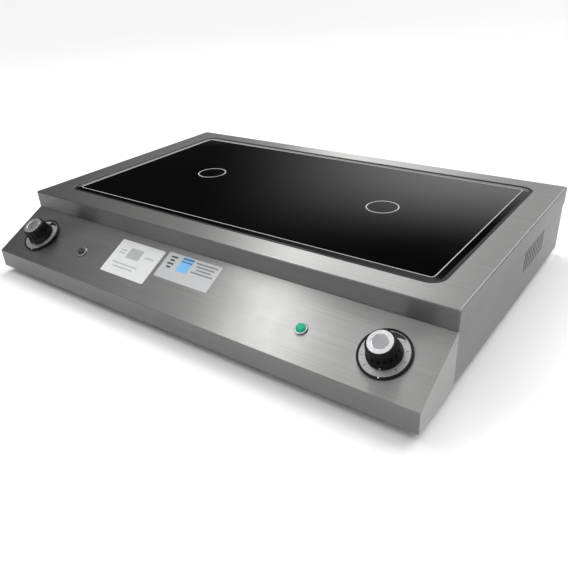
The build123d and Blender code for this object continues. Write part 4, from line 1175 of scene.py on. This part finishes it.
class HOB_OT_knobs(HobOperator, bpy.types.Operator):
    """Fluted grips with their pointers and bright caps"""

    bl_idname = "hob.knobs"
    bl_label = "Knobs"

    def build(self, scene):
        sizes = scene.hob_knob
        grip = self.grip(sizes)
        cap = self.cap(sizes)
        pointer = self.pointer(sizes)
        silver = finish("cap_silver", turned_metal, (0.54, 0.54, 0.55), 0.24)
        dull = finish("cap_centre", turned_metal, (0.25, 0.25, 0.26), 0.4)
        white = finish("mark_white", printed, (0.86, 0.86, 0.86))
        for side, origin in KNOB_PLACES.items():
            matrix = on_console(origin)
            body = f"knob_{side}"
            done(
                duplicate(grip, f"knob_body_{side}", matrix),
                body, [black_moulding()], [f"knob_grip_{side}"], angle=30,
            )
            done(
                duplicate(cap, f"knob_disc_{side}", matrix),
                body, [silver, dull], [f"knob_cap_{side}"],
            )
            done(duplicate(pointer, f"knob_pointer_{side}", matrix), body, [white])
        for obj in (grip, cap, pointer):
            bpy.data.objects.remove(obj)

    @staticmethod
    def grip(sizes):
        """Grip drawn up from a disc through skirt and shoulder, then fluted and hollowed."""
        grip = add_disc("knob_body", sizes.grip_radius, sizes.grip_base, 144)
        shoulder_top = sizes.grip_base + SKIRT + SHOULDER
        levels = [
            (sizes.grip_radius, sizes.grip_base + SKIRT),
            (sizes.grip_top_radius + GRIP_TAPER, shoulder_top),
            (sizes.grip_top_radius, sizes.grip_top - GRIP_TAPER),
            (sizes.grip_top_radius - GRIP_TAPER, sizes.grip_top),
            (sizes.cap_radius, sizes.grip_top),
            (sizes.cap_radius, sizes.grip_top - CAP_SEAT),
        ]
        edit(grip, "faces")
        pick(grip, "faces", lambda face: True)
        radius, height = sizes.grip_radius, sizes.grip_base
        for next_radius, next_height in levels:
            bpy.ops.mesh.extrude_region_move(
                TRANSFORM_OT_translate={"value": (0, 0, next_height - height)}
            )
            scale = next_radius / radius
            bpy.ops.transform.resize(value=(scale, scale, 1), center_override=(0, 0, next_height))
            radius, height = next_radius, next_height
        close()
        clean(grip)
        reach = sizes.grip_top_radius + FLUTE_RADIUS - FLUTE_DEPTH
        start = shoulder_top + OVERCUT
        cutters = []
        for n in range(FLUTES):
            angle = 2 * math.pi * (n + 0.5) / FLUTES
            cutter = add_tube("flute", FLUTE_RADIUS, start, sizes.grip_top + OVERCUT, 32)
            cutters.append(place(cutter, Matrix.Translation(around(reach, angle))))
        cut(grip, join(cutters, "cutter"))
        cut(grip, add_tube("cutter", NUT_ROOM, 0, sizes.grip_base + NUT_ROOM_HEIGHT, 64))
        cut(grip, add_tube("cutter", SHAFT_BORE, 0, SHAFT_TOP, 48))
        return soften(grip, GRIP_ROUNDING, 2, 30)

    @staticmethod
    def cap(sizes):
        """Spun cap with a rounded rim and a recessed, duller centre."""
        foot = sizes.grip_top - CAP_DEPTH
        cap = add_disc("knob_disc", sizes.cap_radius - CAP_GAP, foot, 128)
        rise = sizes.cap_top - foot
        edit(cap, "faces")
        pick(cap, "faces", lambda face: True)
        bpy.ops.mesh.extrude_region_move(TRANSFORM_OT_translate={"value": (0, 0, rise)})
        bpy.ops.mesh.inset(thickness=CAP_BAND)
        bpy.ops.mesh.inset(thickness=CAP_STEP)
        bpy.ops.transform.translate(value=(0, 0, -CAP_RECESS))
        bpy.ops.mesh.inset(thickness=CAP_FLOOR_INSET)
        close()
        inner = (sizes.cap_radius - CAP_BAND) / 2
        for polygon in cap.data.polygons:
            flat = polygon.normal.z > FACING and polygon.center.z > sizes.grip_top
            polygon.material_index = 1 if flat and polygon.center.xy.length < inner else 0
        return soften(cap, CAP_ROUNDING, 3, 40)

    @staticmethod
    def pointer(sizes):
        """White line down the grip's skirt and side."""
        angle = math.radians(INDEX_ANGLE)
        outer = sizes.grip_radius
        half = POINTER_WIDTH / 2
        base = sizes.grip_base + SKIRT
        low = (outer - POINTER_DEPTH, -half, base - POINTER_LENGTH)
        line = add_block("pointer", low, (outer + POINTER_PROUD, half, base + POINTER_OVERLAP))
        return place(soften(line, POINTER_ROUNDING), Matrix.Rotation(angle, 4, "Z"))


class HOB_OT_lamps(HobOperator, bpy.types.Operator):
    """Pilot lamp lenses: a lit one and one that is off"""

    bl_idname = "hob.lamps"
    bl_label = "Pilot lamps"

    def build(self, scene):
        colours = scene.hob_colours
        lit = finish("lens_lit", lamp_plastic, tuple(colours.lit_lens), 0.45)
        dark = finish("lens_off", lamp_plastic, (0.018, 0.03, 0.027), 0.0)
        for side, slot, material in (("left", "lens_dark", dark), ("right", "lens_green", lit)):
            lens = self.lens()
            lens.name = f"lamp_dome_{side}"
            done(place(lens, lens_frame(side)), "housing", [material], [f"lamp_lens_{side}"])

    @staticmethod
    def lens():
        """Lens drawn up from a disc to a flat dome."""
        lens = add_disc("lens", LENS_RADIUS, -LENS_DEPTH, 64)
        edit(lens, "faces")
        pick(lens, "faces", lambda face: True)
        rise = LENS_HEIGHT + LENS_DEPTH
        bpy.ops.mesh.extrude_region_move(TRANSFORM_OT_translate={"value": (0, 0, rise)})
        close()
        edit(lens, "edges")
        pick(lens, "edges", lambda e: all(v.co.z > LENS_HEIGHT * FACING for v in e.verts))
        bpy.ops.mesh.bevel(offset=LENS_ROUNDING, segments=8, profile=0.5)
        close()
        return lens


class HOB_OT_labels(HobOperator, bpy.types.Operator):
    """White notice film and silver information plate, with generic marks"""

    bl_idname = "hob.labels"
    bl_label = "Labels"

    def build(self, scene):
        colours = scene.hob_colours
        white = finish("film_white", printed, (0.64, 0.65, 0.65), 0.45)
        grey = finish("ink_grey", printed, (0.38, 0.39, 0.40), 0.45)
        silver = finish("foil_silver", printed, (0.42, 0.43, 0.44), 0.42, 0.3)
        blue = finish("ink_blue", printed, tuple(colours.label_blue), 0.4)
        navy = finish("ink_navy", printed, (0.03, 0.14, 0.33), 0.4)
        black = finish("ink_black", printed, (0.03, 0.035, 0.045), 0.45)
        dim = finish("ink_dim", printed, (0.16, 0.165, 0.17), 0.45)
        self.film("label_notice", "notice_film", white, "label_white")
        self.film("label_info", "info_plate", silver, "label_silver")
        self.bars("label_notice", "notice_print", NOTICE_PRINT, grey, "label_white")
        self.bars("label_info", "info_field", INFO_FIELD, blue, "label_silver")
        self.bars("label_info", "info_band", INFO_BAND, navy, "label_silver", 2)
        self.bars("label_info", "info_lines", INFO_LINES, dim, "label_silver")
        self.bars("label_info", "info_marks", INFO_MARKS, black, "label_silver")

    def film(self, node, name, material, slot):
        """The label's own film, with rounded corners."""
        low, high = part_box(node)
        half_x = (high.x - low.x) / 2
        lean = LABEL_FILM * abs(CONSOLE_NORMAL.y)
        half_y = (high.y - low.y - lean) / CONSOLE_UP.y / 2
        film = add_block(name, (-half_x, -half_y, 0), (half_x, half_y, LABEL_FILM))
        edit(film, "edges")
        pick(film, "edges", lambda e: along(e, (0, 0, 1)))
        bpy.ops.mesh.bevel(offset=LABEL_CORNER, segments=6)
        close()
        soften(film, LABEL_ROUNDING, 2, 60)
        done(place(film, on_slope(node)), "housing", [material], [node])

    def bars(self, node, name, places, material, slot, layer=1):
        """Thin printed fields: middle and size of each in millimetres."""
        made = []
        for x, y, width, height in places:
            low = ((x - width / 2) * MM, (y - height / 2) * MM, LABEL_FILM)
            high = ((x + width / 2) * MM, (y + height / 2) * MM, LABEL_FILM + layer * INK)
            bar = add_block("bar", low, high)
            edit(bar, "edges")
            pick(bar, "edges", lambda e: along(e, (0, 0, 1)))
            bpy.ops.mesh.bevel(offset=INK_CORNER, segments=3)
            close()
            made.append(bar)
        done(place(join(made, name), on_slope(node)), "housing", [material])


class HOB_OT_windings(HobOperator, bpy.types.Operator):
    """Flat litz coils under the zones, each wound as one spiral"""

    bl_idname = "hob.windings"
    bl_label = "Windings"

    def build(self, scene):
        copper = finish("copper_litz", turned_metal, (0.72, 0.32, 0.16), 0.3)
        for side in SIDES:
            low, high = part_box(f"coil_winding_{side}")
            centre = (low + high) / 2
            outer = (high.x - low.x - (high.z - low.z)) / 2
            turns = math.floor((outer - WINDING_INNER) / WINDING_PITCH)
            curve = bpy.data.curves.new(f"litz_winding_{side}", "CURVE")
            curve.dimensions = "3D"
            curve.bevel_depth = WINDING_PITCH * WINDING_FILL
            curve.bevel_resolution = 1
            curve.use_fill_caps = True
            spline = curve.splines.new("POLY")
            count = turns * WINDING_STEPS
            spline.points.add(count)
            for n in range(count + 1):
                angle = 2 * math.pi * n / WINDING_STEPS
                reach = WINDING_INNER + WINDING_PITCH * n / WINDING_STEPS
                spline.points[n].co = (*(centre + around(reach, angle)), 1)
            winding = bpy.data.objects.new(curve.name, curve)
            bpy.context.collection.objects.link(winding)
            only(winding)
            bpy.ops.object.convert(target="MESH")
            winding = bpy.context.object
            done(winding, "housing", [copper], [f"coil_winding_{side}"], angle=60)


class HOB_OT_hidden(HobOperator, bpy.types.Operator):
    """Finishes for the pieces that keep their CAD shape"""

    bl_idname = "hob.hidden"
    bl_label = "Inner pieces"

    def build(self, scene):
        makers = {
            "steel_inner": (
                "steel_mill", brushed_steel, (0.5, 0.5, 0.5), (9.0, 1800.0, 1800.0), "X", 0.34, 0.5,
            ),
            "silicone_black": ("silicone_black", moulded, (0.012, 0.012, 0.012), 0.45, 400.0),
            "rubber_black": ("rubber_black", moulded, (0.02, 0.02, 0.02), 0.6, 500.0),
            "copper": ("copper_litz", turned_metal, (0.72, 0.32, 0.16), 0.3),
            "carrier": ("carrier_plastic", moulded, (0.05, 0.05, 0.05), 0.5),
            "ferrite": ("ferrite_grey", moulded, (0.06, 0.06, 0.065), 0.55, 300.0),
            "mica": ("mica_sheet", printed, (0.62, 0.57, 0.46), 0.5),
            "silicone_red": ("silicone_red", moulded, (0.4, 0.09, 0.05), 0.5, 500.0),
            "sensor": ("sensor_ceramic", moulded, (0.75, 0.75, 0.72), 0.35, 700.0),
            "board": ("board_green", printed, (0.03, 0.2, 0.09), 0.35),
            "aluminium": ("sink_aluminium", turned_metal, (0.72, 0.72, 0.73), 0.3),
            "device": ("device_epoxy", moulded, (0.02, 0.02, 0.022), 0.5),
            "capacitor": ("capacitor_case", moulded, (0.05, 0.12, 0.4), 0.3),
            "fan_plastic": ("fan_black", moulded, (0.015, 0.015, 0.015), 0.4),
            "nylon": ("nylon_natural", moulded, (0.72, 0.71, 0.68), 0.4),
            "core": ("core_coating", moulded, (0.05, 0.2, 0.16), 0.3),
            "gland_plastic": ("gland_polyamide", moulded, (0.02, 0.02, 0.02), 0.42),
            "brass": ("stud_brass", turned_metal, (0.66, 0.5, 0.2), 0.25),
            "zinc": ("screw_zinc", turned_metal, (0.64, 0.64, 0.62), 0.28),
            "lamp_metal": ("bezel_chrome", turned_metal, (0.34, 0.34, 0.35), 0.12),
        }
        slots = {entry["node"]: entry["material_slot"] for entry in frame["record"]["subparts"]}
        for name, node in NODES.items():
            if node.hide_render:
                continue
            if slots[name] not in makers:
                raise RuntimeError(f"no finish for slot {slots[name]} of node {name}")
            material = finish(*makers[slots[name]])
            for index in range(len(node.material_slots)):
                node.material_slots[index].material = material


class HOB_OT_stage(HobOperator, bpy.types.Operator):
    """Pale floor, soft studio light and the camera"""

    bl_idname = "hob.stage"
    bl_label = "Stage"

    def build(self, scene):
        self.floor(scene)
        self.world(scene)
        self.lights(scene)
        self.camera(scene)
        scene.view_settings.view_transform = "Standard"

    @staticmethod
    def floor(scene):
        bpy.ops.object.select_all(action="DESELECT")
        bpy.ops.mesh.primitive_plane_add(size=FLOOR_SIZE, location=(0, 0, CAD_BOX[0][2]))
        floor = named("studio_floor")
        made = Finish("floor_pale")
        mottle = made.noise(made.coordinates, 3.0, 2.0)
        base = tuple(scene.hob_colours.floor)
        made.set(base=made.blend(mottle, shade(base, 0.985), base), roughness=0.6, specular=0.2)
        floor.data.materials.append(made.material)

    @staticmethod
    def world(scene):
        world = bpy.data.worlds.new("studio_air")
        scene.world = world
        world.use_nodes = True
        tree = world.node_tree
        background = tree.nodes["Background"]
        direction = tree.nodes.new("ShaderNodeTexCoord")
        split = tree.nodes.new("ShaderNodeSeparateXYZ")
        tree.links.new(direction.outputs["Generated"], split.inputs[0])

        def ramp(axis, start, end, low, high):
            node = tree.nodes.new("ShaderNodeMapRange")
            node.interpolation_type = "SMOOTHERSTEP"
            limits = {"From Min": start, "From Max": end, "To Min": low, "To Max": high}
            for socket, value in limits.items():
                node.inputs[socket].default_value = value
            tree.links.new(split.outputs[axis], node.inputs["Value"])
            return node.outputs["Result"]

        def combine(operation, *values):
            node = tree.nodes.new("ShaderNodeMath")
            node.operation = operation
            for socket, value in enumerate(values):
                tree.links.new(value, node.inputs[socket])
            return node.outputs[0]

        light = scene.hob_light
        rising, falling = ramp("X", *AIR_RISE, 0, 1), ramp("X", *AIR_FALL, 1, AIR_RIGHT)
        across = combine("MULTIPLY", rising, falling)
        low = ramp("Z", *AIR_LOW, light.air_bright, 0)
        high = ramp("Z", *AIR_HIGH, 0, light.ceiling_bright)
        dark = ramp("Z", *AIR_HIGH, light.air_dark, light.ceiling_dark)
        level = combine("MULTIPLY_ADD", across, combine("ADD", low, high), dark)
        level = combine("MAXIMUM", level, ramp("Z", *AIR_HORIZON, 1, 0))
        tree.links.new(level, background.inputs["Color"])

    @staticmethod
    def softbox(name, location, long_axis, size, power):
        data = bpy.data.lights.new(name, "AREA")
        data.shape = "RECTANGLE"
        data.size, data.size_y = size
        data.energy = power
        light = bpy.data.objects.new(name, data)
        bpy.context.collection.objects.link(light)
        back = Vector(location).normalized()
        side = Vector(long_axis).cross(back).normalized()
        turn = Matrix((side, back.cross(side), back)).transposed().to_4x4()
        light.matrix_world = Matrix.Translation(location) @ turn
        return light

    def lights(self, scene):
        light = scene.hob_light
        self.softbox("softbox_near", NEAR_PLACE, NEAR_AXIS, NEAR_SIZE, light.strip)
        self.softbox("softbox_far", FAR_PLACE, FAR_AXIS, FAR_SIZE, light.strip)
        data = bpy.data.lights.new("overhead", "SUN")
        data.angle = math.radians(SUN_ANGLE)
        data.energy = light.sun
        overhead = bpy.data.objects.new("overhead", data)
        bpy.context.collection.objects.link(overhead)
        overhead.rotation_euler = Vector(SUN_FROM).to_track_quat("Z", "Y").to_euler()

    @staticmethod
    def camera(scene):
        data = bpy.data.cameras.new("camera")
        data.sensor_width = SENSOR_MM
        data.lens = LENS_MM
        camera = bpy.data.objects.new("camera", data)
        bpy.context.collection.objects.link(camera)
        heading = math.radians(CAMERA_HEADING)
        drop = math.radians(CAMERA_DROP)
        roll = math.radians(CAMERA_ROLL)
        ahead = Vector((math.sin(heading), math.cos(heading), 0))
        look = ahead * math.cos(drop) - Vector((0, 0, math.sin(drop)))
        level = Vector((math.cos(heading), -math.sin(heading), 0))
        upright = level.cross(look)
        right = level * math.cos(roll) + upright * math.sin(roll)
        up = upright * math.cos(roll) - level * math.sin(roll)
        turn = Matrix((right, up, -look)).transposed().to_4x4()
        camera.matrix_world = Matrix.Translation(CAMERA_PLACE) @ turn
        scene.camera = camera


class HOB_PT_panel(bpy.types.Panel):
    """Hob pieces in the sidebar"""

    bl_idname = "HOB_PT_panel"
    bl_label = "Induction hob"
    bl_space_type = "VIEW_3D"
    bl_region_type = "UI"
    bl_category = "Hob"

    def draw(self, context):
        layout = self.layout
        for operator in OPERATORS:
            layout.operator(operator.bl_idname)
        for name in GROUPS:
            group = getattr(context.scene, name)
            column = layout.column()
            for key in group.bl_rna.properties.keys():
                if key not in ("rna_type", "name"):
                    column.prop(group, key)


OPERATORS = (
    HOB_OT_deck,
    HOB_OT_glass,
    HOB_OT_console,
    HOB_OT_walls,
    HOB_OT_dials,
    HOB_OT_knobs,
    HOB_OT_lamps,
    HOB_OT_labels,
    HOB_OT_windings,
    HOB_OT_hidden,
    HOB_OT_stage,
)
GROUPS = {
    "hob_sheet": HobSheetSizes,
    "hob_glass": HobGlassSizes,
    "hob_knob": HobKnobSizes,
    "hob_colours": HobColours,
    "hob_light": HobLightSettings,
}


def register():
    """Registers the classes and puts their settings on the scene."""
    for cls in (*GROUPS.values(), *OPERATORS, HOB_PT_panel):
        bpy.utils.register_class(cls)
    for name, group in GROUPS.items():
        setattr(bpy.types.Scene, name, PointerProperty(type=group))


def unregister():
    """Takes the settings and the classes away."""
    for name in GROUPS:
        delattr(bpy.types.Scene, name)
    for cls in reversed((*GROUPS.values(), *OPERATORS, HOB_PT_panel)):
        bpy.utils.unregister_class(cls)


def main():
    """Builds the hob's visible pieces and its stage."""
    register()
    for operator in OPERATORS:
        group, name = operator.bl_idname.split(".")
        getattr(getattr(bpy.ops, group), name)()


if __name__ == "__main__":
    main()
